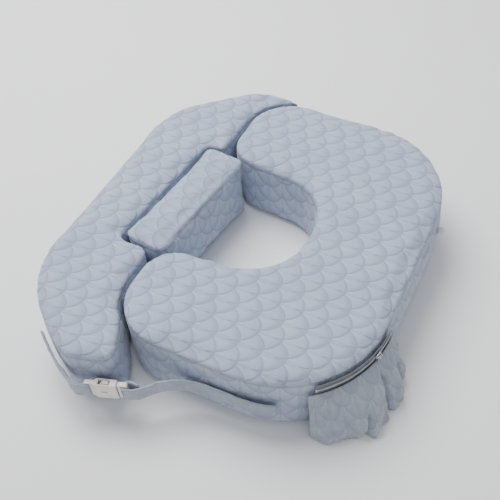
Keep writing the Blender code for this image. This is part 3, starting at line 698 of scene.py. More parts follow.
def hollow_for_zip(obj):
    """Keeps the cover behind the zip's tapes."""
    points = coordinates(obj.data)
    ray = points[:, :2] - ZIP_CENTRE
    reach = np.linalg.norm(ray, axis=1)
    angle = np.arctan2(ray[:, 1], ray[:, 0])
    corner = (angle > ZIP_FROM) & (angle < ZIP_TO)
    near = corner & (np.abs(points[:, 2] - ZIP_Z) < ZIP_HALF) & (reach > 0.1570)
    points[near, :2] = ZIP_CENTRE + ray[near] / reach[near][:, None] * BEHIND_TAPE
    below = corner & (points[:, 2] <= ZIP_Z - ZIP_HALF) & (reach > BELOW_TAPE)
    points[below, :2] = ZIP_CENTRE + ray[below] / reach[below][:, None] * BELOW_TAPE
    move_to(obj.data, points)


def cushion(name, node, voxel, softening, caps, top_z, body, nodes, turn=0.0, seed=0.0,
            pucker=0.0006, folds=0.0006, zipped=False):
    ring = outline_of(node)
    seam_z = top_z - SEAM_DROP
    obj = soft_block(name, node, voxel, softening)
    blow_up(obj, *caps)
    add(obj, "finer squares", "SUBSURF", levels=1, render_levels=1)
    bake(obj)
    sew(obj, ring, top_z, seam_z, turn, pucker, folds, seed)
    if zipped:
        hollow_for_zip(obj)
    cloth_map(obj, ring, top_z, seam_z, turn)
    obj.data.shade_smooth()
    dress(obj, COVER, body, "patterned_cover", *nodes)
    return obj


MAIN_NODES = ["main_foam_core", "main_top_panel", "main_bottom_panel", "main_outer_band", "main_inner_band"]
BACK_NODES = ["back_foam_core", "back_top_panel", "back_bottom_panel", "back_side_band"]
LUMBAR_NODES = ["lumbar_foam_core", "lumbar_top_panel", "lumbar_bottom_panel", "lumbar_side_band"]
C_CUSHION = cushion("c_cushion", "main_foam_core", 0.005, 5, BLOCK_CAPS, TOP, "cushion", MAIN_NODES,
                    zipped=True)
BACK_CUSHION = cushion("back_cushion", "back_foam_core", 0.005, 5, BLOCK_CAPS, TOP, "back_rest", BACK_NODES,
                       seed=11.0, pucker=0.0009, folds=0.0012)
LUMBAR_CUSHION = cushion("lumbar_cushion", "lumbar_foam_core", 0.004, 2, LUMBAR_CAPS, LUMBAR_TOP,
                         "back_rest", LUMBAR_NODES, turn=math.radians(186.5), seed=23.0)

# %% [markdown]
# ## Things that repeat along a line
# Stitches, zip teeth and the strap's box stitching are all small beads spaced along a path. One
# Geometry Nodes tree makes them: it turns a wire into a curve, spaces points along it, puts a
# scaled bead on each and turns it along the line. The result is made real and baked.

# %% Beads along a path
BEAD_SEED = 7


def bead_tree():
    tree = bpy.data.node_groups.new("beads_along_a_line", "GeometryNodeTree")
    tree.is_modifier = True
    inputs = [("Line", "NodeSocketGeometry"), ("Spacing", "NodeSocketFloat"), ("Size", "NodeSocketVector"),
              ("Lean", "NodeSocketFloat"), ("Seed", "NodeSocketInt"), ("Finish", "NodeSocketMaterial")]
    for name, kind in inputs:
        tree.interface.new_socket(name=name, in_out="INPUT", socket_type=kind)
    tree.interface.new_socket(name="Beads", in_out="OUTPUT", socket_type="NodeSocketGeometry")
    given = tree.nodes.new("NodeGroupInput").outputs
    result = tree.nodes.new("NodeGroupOutput").inputs

    def step(kind, links, settings=None):
        made = tree.nodes.new(kind)
        for key, value in (settings or {}).items():
            setattr(made, key, value)
        for key, value in links.items():
            if isinstance(value, bpy.types.NodeSocket):
                tree.links.new(value, made.inputs[key])
            else:
                made.inputs[key].default_value = value
        return made.outputs

    curve = step("GeometryNodeMeshToCurve", {"Mesh": given["Line"]})
    spaced = step("GeometryNodeResampleCurve", {"Curve": curve[0], "Length": given["Spacing"]},
                  {"mode": "LENGTH"})
    tangent = step("GeometryNodeInputTangent", {})
    along = step("FunctionNodeAlignRotationToVector", {"Vector": tangent[0]}, {"axis": "X"})
    shake = step("FunctionNodeRandomValue", {"Seed": given["Seed"]}, {"data_type": "FLOAT"})
    swing = step("ShaderNodeMath", {0: shake[1], 1: 0.5}, {"operation": "SUBTRACT"})
    tilt = step("ShaderNodeMath", {0: swing[0], 1: given["Lean"]}, {"operation": "MULTIPLY"})
    axis = step("ShaderNodeCombineXYZ", {"Y": tilt[0], "Z": tilt[0]})
    turn = step("FunctionNodeEulerToRotation", {0: axis[0]})
    both = step("FunctionNodeRotateRotation", {"Rotation": along[0], "Rotate By": turn[0]},
                {"rotation_space": "LOCAL"})
    bead = step("GeometryNodeMeshIcoSphere", {"Radius": 0.5, "Subdivisions": 2})
    placed = step("GeometryNodeInstanceOnPoints",
                  {"Points": spaced[0], "Instance": bead[0], "Rotation": both[0], "Scale": given["Size"]})
    real = step("GeometryNodeRealizeInstances", {"Geometry": placed[0]})
    done = step("GeometryNodeSetMaterial", {"Geometry": real[0], "Material": given["Finish"]})
    tree.links.new(done[0], result["Beads"])
    return tree


BEADS = bead_tree()
BEAD_INPUT = {item.name: item.identifier for item in BEADS.interface.items_tree if item.in_out == "INPUT"}


def beads(name, lines, spacing, size, finish, lean=0.0):
    """Beads along one or more open or closed lines; a closed line repeats its first point."""
    points = []
    edges = []
    for line in lines:
        base = len(points)
        points += [tuple(p) for p in line]
        edges += [(base + i, base + i + 1) for i in range(len(line) - 1)]
    mesh = bpy.data.meshes.new(name)
    mesh.from_pydata(points, edges, [])
    obj = new_object(name, mesh)
    nodes = obj.modifiers.new("beads", "NODES")
    nodes.node_group = BEADS
    given = {"Spacing": spacing, "Size": size, "Lean": lean, "Seed": BEAD_SEED, "Finish": finish}
    for key, value in given.items():
        nodes[BEAD_INPUT[key]] = value
    return bake(obj)


print("bead tree inputs:", list(BEAD_INPUT))

# %% Seam stitches
STITCH_STEP = 0.0042
STITCH_SIZE = (0.0030, 0.0006, 0.0006)
STITCH_GAP = 0.00015
STITCH_RISE = 0.0026        # above its seam


def seam_line(cushion_obj, ring, height):
    """Where a level seam meets the finished cushion, found by looking at it from outside."""
    tree = BVHTree.FromObject(cushion_obj, bpy.context.evaluated_depsgraph_get())
    closed = np.vstack([ring, ring[:1]])
    length = np.concatenate([[0.0], np.cumsum(np.linalg.norm(np.diff(closed, axis=0), axis=1))])
    marks = np.arange(0.0, length[-1], 0.003)
    xs = np.interp(marks, length, closed[:, 0])
    ys = np.interp(marks, length, closed[:, 1])
    _, outward = along_outline(ring, np.column_stack([xs, ys]))
    line = []
    for x, y, (nx, ny) in zip(xs, ys, outward):
        out = Vector((nx, ny, 0.0))
        hit = tree.ray_cast(Vector((x, y, height)) + out * 0.012, -out, 0.03)[0]
        if hit:
            line.append(hit + out * STITCH_GAP)
    return line + line[:1]


def seam_stitches(name, cushion_obj, node, top_z, body):
    ring = outline_of(node)
    lines = [seam_line(cushion_obj, ring, seam + STITCH_RISE) for seam in (top_z - SEAM_DROP, BOTTOM_SEAM)]
    obj = beads(name, lines, STITCH_STEP, STITCH_SIZE, THREAD, lean=0.25)
    return dress(obj, THREAD, body, "plain_cover")


seam_stitches("c_seam_stitches", C_CUSHION, "main_foam_core", TOP, "cushion")
seam_stitches("back_seam_stitches", BACK_CUSHION, "back_foam_core", TOP, "back_rest")
seam_stitches("lumbar_seam_stitches", LUMBAR_CUSHION, "lumbar_foam_core", LUMBAR_TOP, "back_rest")

# %% [markdown]
# ## The zip
# Two woven tapes curve round the front corner with a row of moulded teeth on each. The tapes
# are bent bands, so they are built straight from an arc; the teeth are beads on two arcs, half
# a step apart. The slider and its pull are small castings with rounded rims.

# %% Tapes and teeth
TAPE_ARC = (math.radians(-139.8), math.radians(-90.2))
TEETH_ARC = (math.radians(-139.0), math.radians(-91.0))
TOOTH_STEP = 0.0017
TOOTH_SIZE = (0.0012, 0.0013, 0.0026)
ARC_POINTS = 60
TAPES = {"upper": (0.0020, 0.0088), "lower": (-0.0085, -0.0020)}    # low and high edges, from ZIP_Z
TAPE_REACH = (0.1583, 0.1595)
ROW_APART = 0.0009


def corner_point(radius, angle, z):
    return Vector((ZIP_CENTRE[0] + radius * math.cos(angle), ZIP_CENTRE[1] + radius * math.sin(angle), z))


def arc_line(radius, z, start, stop, count=ARC_POINTS):
    return [corner_point(radius, start + (stop - start) * i / (count - 1), z) for i in range(count)]


def bent_band(name, inner, outer, low, high, start, stop):
    """A thin curved band with a slight ripple, closed on all sides."""
    rows = []
    for i in range(ARC_POINTS):
        share = i / (ARC_POINTS - 1)
        angle = start + (stop - start) * share
        ripple = 0.0002 * math.sin(41 * share) + 0.0001 * math.sin(97 * share)
        rows.append([corner_point(inner + ripple, angle, low),
                     corner_point(outer + ripple, angle, low + 0.0001),
                     corner_point(outer + ripple, angle, high), corner_point(inner + ripple, angle, high)])
    points = [p for row in rows for p in row]
    faces = []
    for i in range(ARC_POINTS - 1):
        a, b = 4 * i, 4 * (i + 1)
        for k in range(4):
            n = (k + 1) % 4
            faces.append((a + k, b + k, b + n, a + n))
    last = 4 * (ARC_POINTS - 1)
    faces += [(0, 1, 2, 3), (last + 3, last + 2, last + 1, last)]
    obj = mesh_object(name, points, faces, smooth=False)
    fix_normals(obj)
    return obj


def fix_normals(obj):
    bm = bmesh.new()
    bm.from_mesh(obj.data)
    bmesh.ops.remove_doubles(bm, verts=bm.verts, dist=0.000005)
    bmesh.ops.recalc_face_normals(bm, faces=bm.faces)
    bm.to_mesh(obj.data)
    bm.free()


for side, (low, high) in TAPES.items():
    tape = bent_band("zip_" + side + "_tape", *TAPE_REACH, ZIP_Z + low, ZIP_Z + high, *TAPE_ARC)
    dress(tape, ZIP_CLOTH, "cushion", "zip_tape", "zip_tape_" + side)
HALF_STEP = TOOTH_STEP / 2 / ZIP_RADIUS
LOWER_ARC = (TEETH_ARC[0] + HALF_STEP, TEETH_ARC[1] - HALF_STEP)
TEETH = {"upper": arc_line(ZIP_RADIUS, ZIP_Z + ROW_APART, *TEETH_ARC),
         "lower": arc_line(ZIP_RADIUS, ZIP_Z - ROW_APART, *LOWER_ARC)}
for side, line in TEETH.items():
    row = beads("zip_" + side + "_row", [line], TOOTH_STEP, TOOTH_SIZE, TOOTH)
    dress(row, TOOTH, "cushion", "zip_metal", "zip_teeth_" + side)
for stop in ("zip_stop_side", "zip_stop_front"):
    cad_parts[stop].data.materials.clear()
    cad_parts[stop].data.materials.append(ZIP_METAL)

# %% Small rounded castings


def plate(name, loops, half, rounding):
    """A flat shape with holes and rounded rims, lying in the XY plane."""
    curve = bpy.data.curves.new(name, "CURVE")
    curve.dimensions = "2D"
    curve.fill_mode = "BOTH"
    curve.extrude = half - rounding
    curve.bevel_depth = rounding
    curve.bevel_resolution = 2
    curve.offset = -rounding
    for loop in loops:
        spline = curve.splines.new("POLY")
        spline.points.add(len(loop) - 1)
        spline.use_cyclic_u = True
        for point, (x, y) in zip(spline.points, loop):
            point.co = (x, y, 0.0, 1.0)
    drawn = new_object(name + "_drawn", curve)
    graph = bpy.context.evaluated_depsgraph_get()
    graph.update()
    mesh = bpy.data.meshes.new_from_object(drawn.evaluated_get(graph))
    bpy.data.objects.remove(drawn, do_unlink=True)
    obj = new_object(name, mesh)
    fix_normals(obj)
    return obj


def rounded_loop(corners, radius, steps=5):
    """A closed loop through corners, each rounded by an arc of that radius."""
    loop = []
    count = len(corners)
    for i, corner in enumerate(corners):
        here = Vector(corner)
        back = Vector(corners[i - 1]) - here
        ahead = Vector(corners[(i + 1) % count]) - here
        reach = min(radius, back.length * 0.45, ahead.length * 0.45)
        first = here + back.normalized() * reach
        last = here + ahead.normalized() * reach
        for k in range(steps + 1):
            t = k / steps
            loop.append(first * (1 - t) ** 2 + here * 2 * t * (1 - t) + last * t ** 2)
    return loop


def rectangle(low, high, radius):
    return rounded_loop([(low[0], low[1]), (high[0], low[1]), (high[0], high[1]), (low[0], high[1])], radius)


def box(name, low, high, rounding=0.0):
    bm = bmesh.new()
    size = Vector(high) - Vector(low)
    bmesh.ops.create_cube(bm, size=1.0)
    bmesh.ops.scale(bm, verts=bm.verts, vec=size)
    bmesh.ops.translate(bm, verts=bm.verts, vec=(Vector(high) + Vector(low)) / 2)
    mesh = bpy.data.meshes.new(name)
    bm.to_mesh(mesh)
    bm.free()
    obj = new_object(name, mesh)
    if rounding > 0:
        add(obj, "rounded", "BEVEL", width=rounding, segments=3)
        bake(obj)
    return obj


def join(obj, *tools, operation="UNION"):
    """Booleans, one tool after another; each tool is used up."""
    for tool in tools:
        add(obj, "join", "BOOLEAN", operation=operation, object=tool, solver="EXACT")
        bake(obj)
        bpy.data.objects.remove(tool, do_unlink=True)
    return obj


def settle(obj, space, rim=0.0):
    """Rounds the last sharp edges and carries the mesh to its place."""
    if rim > 0:
        add(obj, "rim", "BEVEL", width=rim, segments=2, limit_method="ANGLE", angle_limit=math.radians(40))
        bake(obj)
    obj.data.transform(space)
    obj.data.shade_smooth()
    add(obj, "crisp shading", "WEIGHTED_NORMAL", keep_sharp=True)
    bake(obj)
    return obj


print("casting helpers ready")

# %% Slider and pull
SLIDER_ANGLE = math.radians(-104)
SLIDER_SPACE = Matrix.Translation((*ZIP_CENTRE, ZIP_Z)) @ Matrix.Rotation(SLIDER_ANGLE, 4, "Z")
STAND = Matrix(((0, 0, 1, 0), (1, 0, 0, 0), (0, 1, 0, 0), (0, 0, 0, 1)))    # X, Y, Z to Y, Z, X
FACE_RADIUS = 0.1616
BAR_RADIUS = 0.1638
PULL_HOLE = rectangle((-0.0017, -0.0128), (0.0017, -0.0052), 0.0014)
PULL_EDGE = rounded_loop([(-0.0020, 0.0012), (-0.0020, -0.0032), (-0.0034, -0.0046), (-0.0034, -0.0158),
                          (0.0034, -0.0158), (0.0034, -0.0046), (0.0020, -0.0032), (0.0020, 0.0012)], 0.0012)
SHIELD = rounded_loop([(-0.0055, -0.0034), (-0.0020, -0.0046), (0.0050, -0.0046), (0.0055, -0.0020),
                       (0.0055, 0.0020), (0.0050, 0.0046), (-0.0020, 0.0046), (-0.0055, 0.0034)], 0.0016)


def make_slider():
    slider = plate("slider_body", [SHIELD], 0.0007, 0.0003)
    slider.data.transform(Matrix.Translation((FACE_RADIUS, 0, 0)) @ STAND)
    behind = plate("slider_back", [SHIELD], 0.0005, 0.0002)
    behind.data.transform(Matrix.Translation((0.1580, 0, 0)) @ STAND)
    post = box("post", (0.1577, 0.0020, -0.0006), (FACE_RADIUS, 0.0050, 0.0006), 0.0002)
    ears = []
    for side in (-1, 1):
        ear = plate("ear", [rectangle((-0.0028, -0.0019), (0.0020, 0.0019), 0.0018)], 0.00065, 0.0002)
        upright = Matrix.Rotation(math.pi / 2, 4, "X")
        ear.data.transform(Matrix.Translation((BAR_RADIUS, side * 0.00305, 0)) @ upright)
        ears.append(ear)
    join(slider, behind, post, *ears)
    settle(slider, SLIDER_SPACE)
    return dress(slider, ZIP_METAL, "zip_slider", "zip_metal", "zip_slider")


def make_pull():
    pull = plate("slider_pull", [PULL_EDGE, PULL_HOLE], 0.0007, 0.0003)
    pull.data.transform(STAND)
    bm = bmesh.new()
    bmesh.ops.create_cone(bm, cap_ends=True, segments=20, radius1=0.0009, radius2=0.0009, depth=0.0047)
    bmesh.ops.rotate(bm, verts=bm.verts, cent=(0, 0, 0), matrix=Matrix.Rotation(math.pi / 2, 3, "X"))
    mesh = bpy.data.meshes.new("bar")
    bm.to_mesh(mesh)
    bm.free()
    join(pull, new_object("bar", mesh))
    settle(pull, SLIDER_SPACE @ Matrix.Translation((BAR_RADIUS, 0, 0)))
    return dress(pull, ZIP_METAL, "zip_pull", "zip_metal", "zip_pull")


make_slider()
make_pull()

# %% [markdown]
# ## The pocket pouch
# Under the zip a bag of the cover cloth hangs from the lower tape and splays out on the floor
# in deep folds. It is one sheet, built on a grid whose rows run from the tape to the floor. The
# folds are ridges and valleys that deepen on the way down, with finer crumples on top.

# %% Pouch sheet
POUCH_FROM, POUCH_TO = math.radians(-143.5), math.radians(-86.0)
POUCH_TOP = 0.0840
POUCH_COLUMNS, POUCH_ROWS = 150, 56
POUCH_REACH = 0.1607
POUCH_FOLDS = [  # place along, width, depth out, slant, start and peak (0 is the tape, 1 the floor)
    (0.08, 0.050, 0.006, 0.03, 0.2, 0.9),
    (0.24, 0.040, -0.006, 0.05, 0.1, 0.6),
    (0.36, 0.045, 0.009, 0.03, 0.1, 0.8),
    (0.47, 0.022, -0.017, -0.10, 0.25, 0.9),
    (0.54, 0.035, 0.010, -0.12, 0.1, 0.8),
    (0.66, 0.026, -0.019, -0.05, 0.0, 0.55),
    (0.745, 0.032, 0.010, 0.02, 0.0, 0.6),
    (0.82, 0.018, -0.009, 0.05, 0.1, 0.6),
    (0.90, 0.040, 0.008, 0.03, 0.1, 0.7),
]


def pouch_point(along, down):
    """A point on the pouch: along from side to front, down from tape to floor."""
    angle = POUCH_FROM + (POUCH_TO - POUCH_FROM) * along
    belly = 0.010 + 0.041 * max(0.0, math.sin(math.pi * (0.04 + 0.93 * along))) ** 0.75
    out = belly * (0.86 * down ** 0.85 + 0.16 * math.sin(math.pi * down))
    height = POUCH_TOP * (1 - down) ** 1.08
    fold = 0.0
    for place, width, depth, slant, start, peak in POUCH_FOLDS:
        off = (along - place - slant * down) / width
        grow = max(0.0, min(1.0, (down - start) / (peak - start)))
        fade = 1.0 - 0.35 * max(0.0, down - peak)
        fold += depth * math.exp(-off * off) * grow * grow * (3 - 2 * grow) * fade
    crumple = noise.noise(Vector((along * 15.0, down * 4.5, 2.0))) * 0.0042
    crumple += noise.noise(Vector((along * 34.0 + down * 6.0, down * 9.0, 5.0))) * 0.0020
    crumple += noise.noise(Vector((along * 70.0, down * 22.0, 9.0))) * 0.0007
    ease = min(1.0, down * 5.0)
    lean = 0.75
    shift = (fold + crumple) * ease
    gather = 0.0007 * math.sin(along * 210.0) * math.exp(-down * 12.0)
    reach = POUCH_REACH + max(0.0002, out + shift * lean + gather)
    lift = height + shift * 0.35 * (1 - down)
    return corner_point(reach, angle, max(0.0012, min(POUCH_TOP, lift)))


def make_pouch():
    points = []
    for row in range(POUCH_ROWS + 1):
        for column in range(POUCH_COLUMNS + 1):
            points.append(pouch_point(column / POUCH_COLUMNS, row / POUCH_ROWS))
    wide = POUCH_COLUMNS + 1
    faces = [(r * wide + c, (r + 1) * wide + c, (r + 1) * wide + c + 1, r * wide + c + 1)
             for r in range(POUCH_ROWS) for c in range(POUCH_COLUMNS)]
    obj = mesh_object("pocket_bag", points, faces)
    layer = obj.data.uv_layers.new(name="cloth")
    for loop in obj.data.loops:
        row, column = divmod(loop.vertex_index, wide)
        layer.data[loop.index].uv = (0.26 * column / POUCH_COLUMNS + 0.2, -0.095 * row / POUCH_ROWS)
    area = sum(face.area for face in obj.data.polygons)
    add(obj, "cloth", "SOLIDIFY", thickness=0.0011, offset=0.0)
    bake(obj)
    fix_normals(obj)
    obj.data.shade_smooth()
    dress(obj, POUCH_CLOTH_PAINTED_SHADE, "cushion", "plain_cover", "pocket_pouch", "pocket_hem")
    print("pouch sheet area", round(area * 1e4, 1), "square centimetres")
    return obj


POUCH_BAG = make_pouch()

# %% [markdown]
# ## The waist strap
# The strap is a soft flattened tube of the same cloth with a bead along its upper edge. It is
# swept along a path in code, since a remesh would lose something so thin. Its centre line is
# the CAD strap's.

# %% Sweeping a soft strap
STRAP_Z = 0.059
BUCKLE = Vector((-0.288695, 0.067758, STRAP_Z))
ALONG = Vector((0.328012, -0.944674, 0.0))
OUT = Vector((-0.944674, -0.328012, 0.0))
SECTION = 28


def near_buckle(along, out, rise=0.0):
    return BUCKLE + ALONG * along + OUT * out + UP * rise


def flowing(points, step=0.0022):
    """A Catmull-Rom curve, resampled evenly."""
    padded = [points[0] * 2 - points[1]] + points + [points[-1] * 2 - points[-2]]
    fine = []
    for i in range(1, len(padded) - 2):
        p0, p1, p2, p3 = padded[i - 1:i + 3]
        for k in range(24):
            t = k / 24
            fine.append((p1 * 2 + (p2 - p0) * t + (p0 * 2 - p1 * 5 + p2 * 4 - p3) * t * t
                         + (p1 * 3 - p0 - p2 * 3 + p3) * t ** 3) / 2)
    fine.append(points[-1])
    spots = np.array([tuple(p) for p in fine])
    length = np.concatenate([[0.0], np.cumsum(np.linalg.norm(np.diff(spots, axis=0), axis=1))])
    marks = np.linspace(0.0, length[-1], max(4, int(length[-1] / step)))
    return [Vector([float(np.interp(m, length, spots[:, k])) for k in range(3)]) for m in marks], marks


def sweep(name, points, width, thick, crumple=0.0006, bead=0.8, lean=0.0, seed=0.0, floor=0.0010):
    """A soft band that stands on edge along a path, with closed ends and a cloth map."""
    path, marks = flowing(points)
    rings = []
    spots = []
    for i, (centre, mark) in enumerate(zip(path, marks)):
        ahead = (path[min(i + 1, len(path) - 1)] - path[max(i - 1, 0)]).normalized()
        side = ahead.cross(UP).normalized()
        up = side.cross(ahead).normalized()
        if lean:
            swing = lean * math.sin(math.pi * i / (len(path) - 1))
            c, s = math.cos(swing), math.sin(swing)
            side, up = side * c + up * s, up * c - side * s
        end = min(1.0, i / 2.0 + 0.35, (len(path) - 1 - i) / 2.0 + 0.35)
        for k in range(SECTION):
            turn = 2 * math.pi * k / SECTION
            a, b = math.cos(turn), math.sin(turn)
            high = math.copysign(abs(a) ** 0.6, a) * width / 2
            deep = math.copysign(abs(b) ** 0.6, b) * thick / 2
            swell = bead * math.exp(-((high - width / 2 + 0.0022) / 0.0016) ** 2)
            swell += 0.5 * bead * math.exp(-((high + width / 2 - 0.0022) / 0.0016) ** 2)
            wave = noise.noise(Vector((mark * 70.0, high * 110.0, seed))) * crumple
            wave += noise.noise(Vector((mark * 190.0, high * 60.0, seed + 4.0))) * crumple * 0.5
            sag = noise.noise(Vector((mark * 26.0, 0.0, seed + 9.0))) * crumple * 1.2
            spot = centre + up * (high + sag) + side * (deep * (1 + swell) * end + wave)
            spot.z = max(spot.z, floor)
            spots.append(spot)
            rings.append((mark, high))
    count = len(path)
    faces = [(i * SECTION + k, i * SECTION + (k + 1) % SECTION, (i + 1) * SECTION + (k + 1) % SECTION,
              (i + 1) * SECTION + k) for i in range(count - 1) for k in range(SECTION)]
    for base in (0, (count - 1) * SECTION):
        middle = sum((spots[base + k] for k in range(SECTION)), Vector()) / SECTION
        spots.append(middle)
        rings.append((rings[base][0], 0.0))
        faces += [(base + k, base + (k + 1) % SECTION, len(spots) - 1) for k in range(SECTION)]
    obj = mesh_object(name, spots, faces)
    fix_normals(obj)
    layer = obj.data.uv_layers.new(name="cloth")
    for loop in obj.data.loops:
        layer.data[loop.index].uv = rings[loop.vertex_index]
    obj.data.shade_smooth()
    return obj


print("strap helpers ready")

# %% The strap's two lengths
STRAP_WIDE = 0.0262
STRAP_DEEP = 0.0030
SEWN_REACH = 0.1632


def on_corner(degrees, rise=0.0):
    return corner_point(SEWN_REACH, math.radians(degrees), STRAP_Z + rise)


def level(x, y, rise=0.0):
    return Vector((x, y, STRAP_Z + rise))


FRONT_PATH = [on_corner(202, -0.004), on_corner(196, -0.003), on_corner(189, -0.002), on_corner(181, -0.001),
              level(-0.2388, -0.0460, -0.0005), level(-0.2400, -0.0300, -0.0005),
              level(-0.2470, -0.0060), level(-0.2620, 0.0190),
              near_buckle(0.0300, 0.0036), near_buckle(0.0165, 0.0058), near_buckle(0.0100, 0.0056),
              near_buckle(0.0072, 0.0020), near_buckle(0.0074, -0.0030), near_buckle(0.0125, -0.0062),
              near_buckle(0.0210, -0.0052), near_buckle(0.0290, -0.0022)]
BACK_PATH = [level(-0.2600, 0.2160), level(-0.2770, 0.1910, -0.0005), level(-0.2940, 0.1640, -0.0005),
             level(-0.3005, 0.1480), near_buckle(-0.0620, 0.0040), near_buckle(-0.0500, 0.0056),
             near_buckle(-0.0425, 0.0056), near_buckle(-0.0396, 0.0020), near_buckle(-0.0394, -0.0030),
             near_buckle(-0.0340, -0.0084, -0.003), near_buckle(-0.0200, -0.0092, -0.008),
             near_buckle(-0.0060, -0.0092, -0.010), near_buckle(0.0080, -0.0092, -0.008),
             near_buckle(0.0190, -0.0088, -0.004)]
STRAP_FRONT = sweep("waist_strap_front", FRONT_PATH, STRAP_WIDE, STRAP_DEEP, 0.0010, seed=3.0)
dress(STRAP_FRONT, STRAP_CLOTH_PAINTED_SHADE, "cushion", "strap", "strap_front")
STRAP_BACK = sweep("waist_strap_back", BACK_PATH, STRAP_WIDE, STRAP_DEEP, 0.0010, seed=8.0)
dress(STRAP_BACK, STRAP_CLOTH_PAINTED_SHADE, "back_rest", "strap", "strap_back")

# %% Box stitching on the sewn ends
BOX_HALF = 0.0095
BOX_STEP = 0.0019


def surface_spot(tree, path, i, rise):
    """A point on the strap's outer face, found by looking at it from outside."""
    ahead = (path[min(i + 1, len(path) - 1)] - path[max(i - 1, 0)]).normalized()
    side = ahead.cross(UP).normalized()
    spot = path[i] + UP * rise
    out = side if side.dot(OUT) > 0 else -side
    hit = tree.ray_cast(spot + out * 0.01, -out, 0.02)[0]
    return (hit or spot + out * STRAP_DEEP / 2) + out * 0.0001


def sewn_box(name, strap, path_points, body, start, stop):
    """Two rows along the strap and two across, on its outer face."""
    path, marks = flowing(path_points)
    tree = BVHTree.FromObject(strap, bpy.context.evaluated_depsgraph_get())
    lines = [[surface_spot(tree, path, i, rise) for i in range(start, stop)]
             for rise in (-BOX_HALF, BOX_HALF)]
    for i in (start, stop - 1):
        lines.append([surface_spot(tree, path, i, -BOX_HALF + BOX_STEP * k) for k in range(11)])
    obj = beads(name, lines, 0.0030, (0.0022, 0.0006, 0.0006), THREAD, lean=0.2)
    return dress(obj, THREAD, body, "strap")


sewn_box("front_box_stitch", STRAP_FRONT, FRONT_PATH, "cushion", 2, 16)
sewn_box("back_box_stitch", STRAP_BACK, BACK_PATH, "back_rest", 2, 14)

# %% [markdown]
# ## The buckle
# A side-release buckle is three mouldings: a socket, a plug with a guiding tongue, and two
# springy arms whose shoulders click into the socket's side windows. Each is drawn flat with
# rounded rims; the socket and the plug are then cut and given a fine bevel so that every edge
# catches the light.

# %% Socket and plug
BUCKLE_SPACE = Matrix.Translation(BUCKLE) @ Matrix((ALONG, UP, OUT)).transposed().to_4x4()
HEAD = rounded_loop([(-0.0325, -0.0148), (-0.0270, -0.0165), (-0.0100, -0.0162), (-0.0004, -0.0158),
                     (-0.0004, 0.0158), (-0.0100, 0.0162), (-0.0270, 0.0165), (-0.0325, 0.0148)], 0.0022)
TAIL = rounded_loop([(-0.0462, -0.0142), (-0.0290, -0.0152), (-0.0290, 0.0152), (-0.0462, 0.0142)], 0.0026)
BASE = rounded_loop([(0.0004, -0.0154), (0.0118, -0.0154), (0.0140, -0.0136), (0.0140, 0.0136),
                     (0.0118, 0.0154), (0.0004, 0.0154)], 0.0018)


def make_socket():
    head = plate("socket_shell", [HEAD], 0.0060, 0.0018)
    tail = plate("tail", [TAIL], 0.0037, 0.0012)
    join(head, tail)
    slot_cut = box("slot_cut", (-0.0420, -0.0138, -0.02), (-0.0374, 0.0138, 0.02))
    cavity = box("cavity", (-0.0290, -0.0126, -0.0038), (0.01, 0.0126, 0.0038))
    slit = box("slit", (-0.0235, -0.0011, 0.0), (-0.0140, 0.0011, 0.02))
    windows = [box("window", (-0.0265, near, -0.0038), (-0.0095, far, 0.0038))
               for near, far in ((-0.02, -0.0115), (0.0115, 0.02))]
    join(head, slot_cut, cavity, slit, *windows, operation="DIFFERENCE")
    settle(head, BUCKLE_SPACE, 0.00035)
    return dress(head, IVORY, "back_rest", "buckle", "buckle_socket")


def make_plug():
    base = plate("plug_body", [BASE], 0.0037, 0.0012)
    tongue = box("tongue", (-0.0220, -0.0022, -0.0026), (0.0016, 0.0022, 0.0026), 0.0007)
    join(base, tongue)
    slot_cut = box("slot_cut", (0.0050, -0.0136, -0.02), (0.0096, 0.0136, 0.02))
    join(base, slot_cut, operation="DIFFERENCE")
    settle(base, BUCKLE_SPACE, 0.0003)
    return dress(base, IVORY, "cushion", "buckle", "buckle_plug")


def make_arm(name, side, body, node):
    """Root, spring, gripping shoulder with fine ribs, and nose."""
    outline = [(-0.0004, -0.0016), (-0.0004, 0.0016), (-0.0096, 0.0020), (-0.0118, 0.0070)]
    for k in range(5):
        x = -0.0126 - 0.0014 * k
        outline += [(x, 0.0080), (x - 0.0006, 0.0080), (x - 0.0009, 0.0074)]
    outline += [(-0.0200, 0.0072), (-0.0244, 0.0016), (-0.0244, -0.0012), (-0.0100, -0.0012)]
    loop = [(x, side * y) for x, y in outline]
    arm = plate(name, [rounded_loop(loop if side > 0 else loop[::-1], 0.0004, 2)], 0.0026, 0.0005)
    settle(arm, BUCKLE_SPACE @ Matrix.Translation((0, side * 0.009, 0)))
    return dress(arm, IVORY, body, "buckle", node)


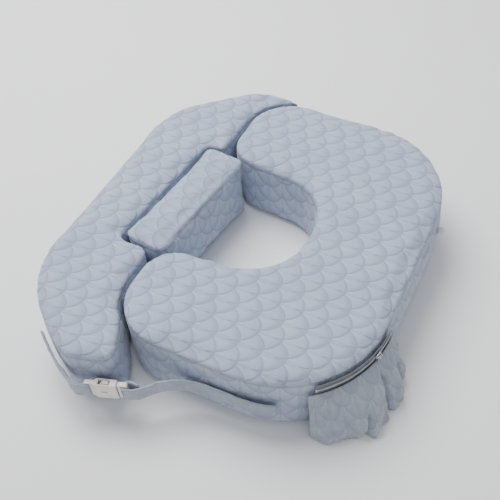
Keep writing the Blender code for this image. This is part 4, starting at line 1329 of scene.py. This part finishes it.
make_socket()
make_plug()
make_arm("release_arm_upper", 1, "buckle_arm_upper", "buckle_arm_upper")
make_arm("release_arm_lower", -1, "buckle_arm_lower", "buckle_arm_lower")

# %% [markdown]
# ## Hinge cloth and label
# A strip of cloth joins the cushion's side to the thin end of the back rest; it has to bend as
# the back rest opens. Here it is swept once as a soft band round the hinge line and hangs on
# neither body. The label is a plain folded ribbon with nothing on it.

# %% Hinge cloth
HINGE = Vector((0.303834, 0.079121, 0.0))
ARM_CENTRE = Vector((0.223169, 0.046530, 0.0))


def ring_spot(centre, radius, degrees, z):
    return Vector((centre.x + radius * math.cos(math.radians(degrees)),
                   centre.y + radius * math.sin(math.radians(degrees)), z))


HINGE_Z = 0.0575
HINGE_PATH = [Vector((0.3040, 0.0240, HINGE_Z)), Vector((0.3041, 0.0400, HINGE_Z)),
              ring_spot(ARM_CENTRE, 0.0811, 6, HINGE_Z), ring_spot(ARM_CENTRE, 0.0811, 12, HINGE_Z),
              ring_spot(HINGE, 0.0086, -90, HINGE_Z), ring_spot(HINGE, 0.0080, -50, HINGE_Z),
              ring_spot(HINGE, 0.0074, -10, HINGE_Z), Vector((0.3108, 0.0860, HINGE_Z)),
              Vector((0.3106, 0.0960, HINGE_Z))]
hinge_cloth = sweep("hinge_cloth", HINGE_PATH, 0.083, 0.0014, 0.0004, bead=0.4, seed=14.0)
hinge_cloth.data.materials.append(STRAP_CLOTH_PAINTED_SHADE)
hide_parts("hinge_tape")
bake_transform(hinge_cloth)

# %% Blank label
LABEL_X = 0.143169
FRONT_WALL = -0.2365
LABEL_Z = 0.077
LABEL_FOLD = [(-0.0007, 0.0012), (-0.0010, -0.004), (-0.0008, -0.0078), (0.0, -0.0086), (0.0008, -0.0078),
              (0.0010, -0.004), (0.0007, 0.0012)]
LABEL_PATH = [Vector((LABEL_X + x, FRONT_WALL + y, LABEL_Z)) for x, y in LABEL_FOLD]
blank_label = sweep("blank_label", LABEL_PATH, 0.014, 0.00045, 0.0001, bead=0.0, seed=31.0)
dress(blank_label, LABEL, "cushion", "label", "care_label")

# %% Finish
print("scene built")
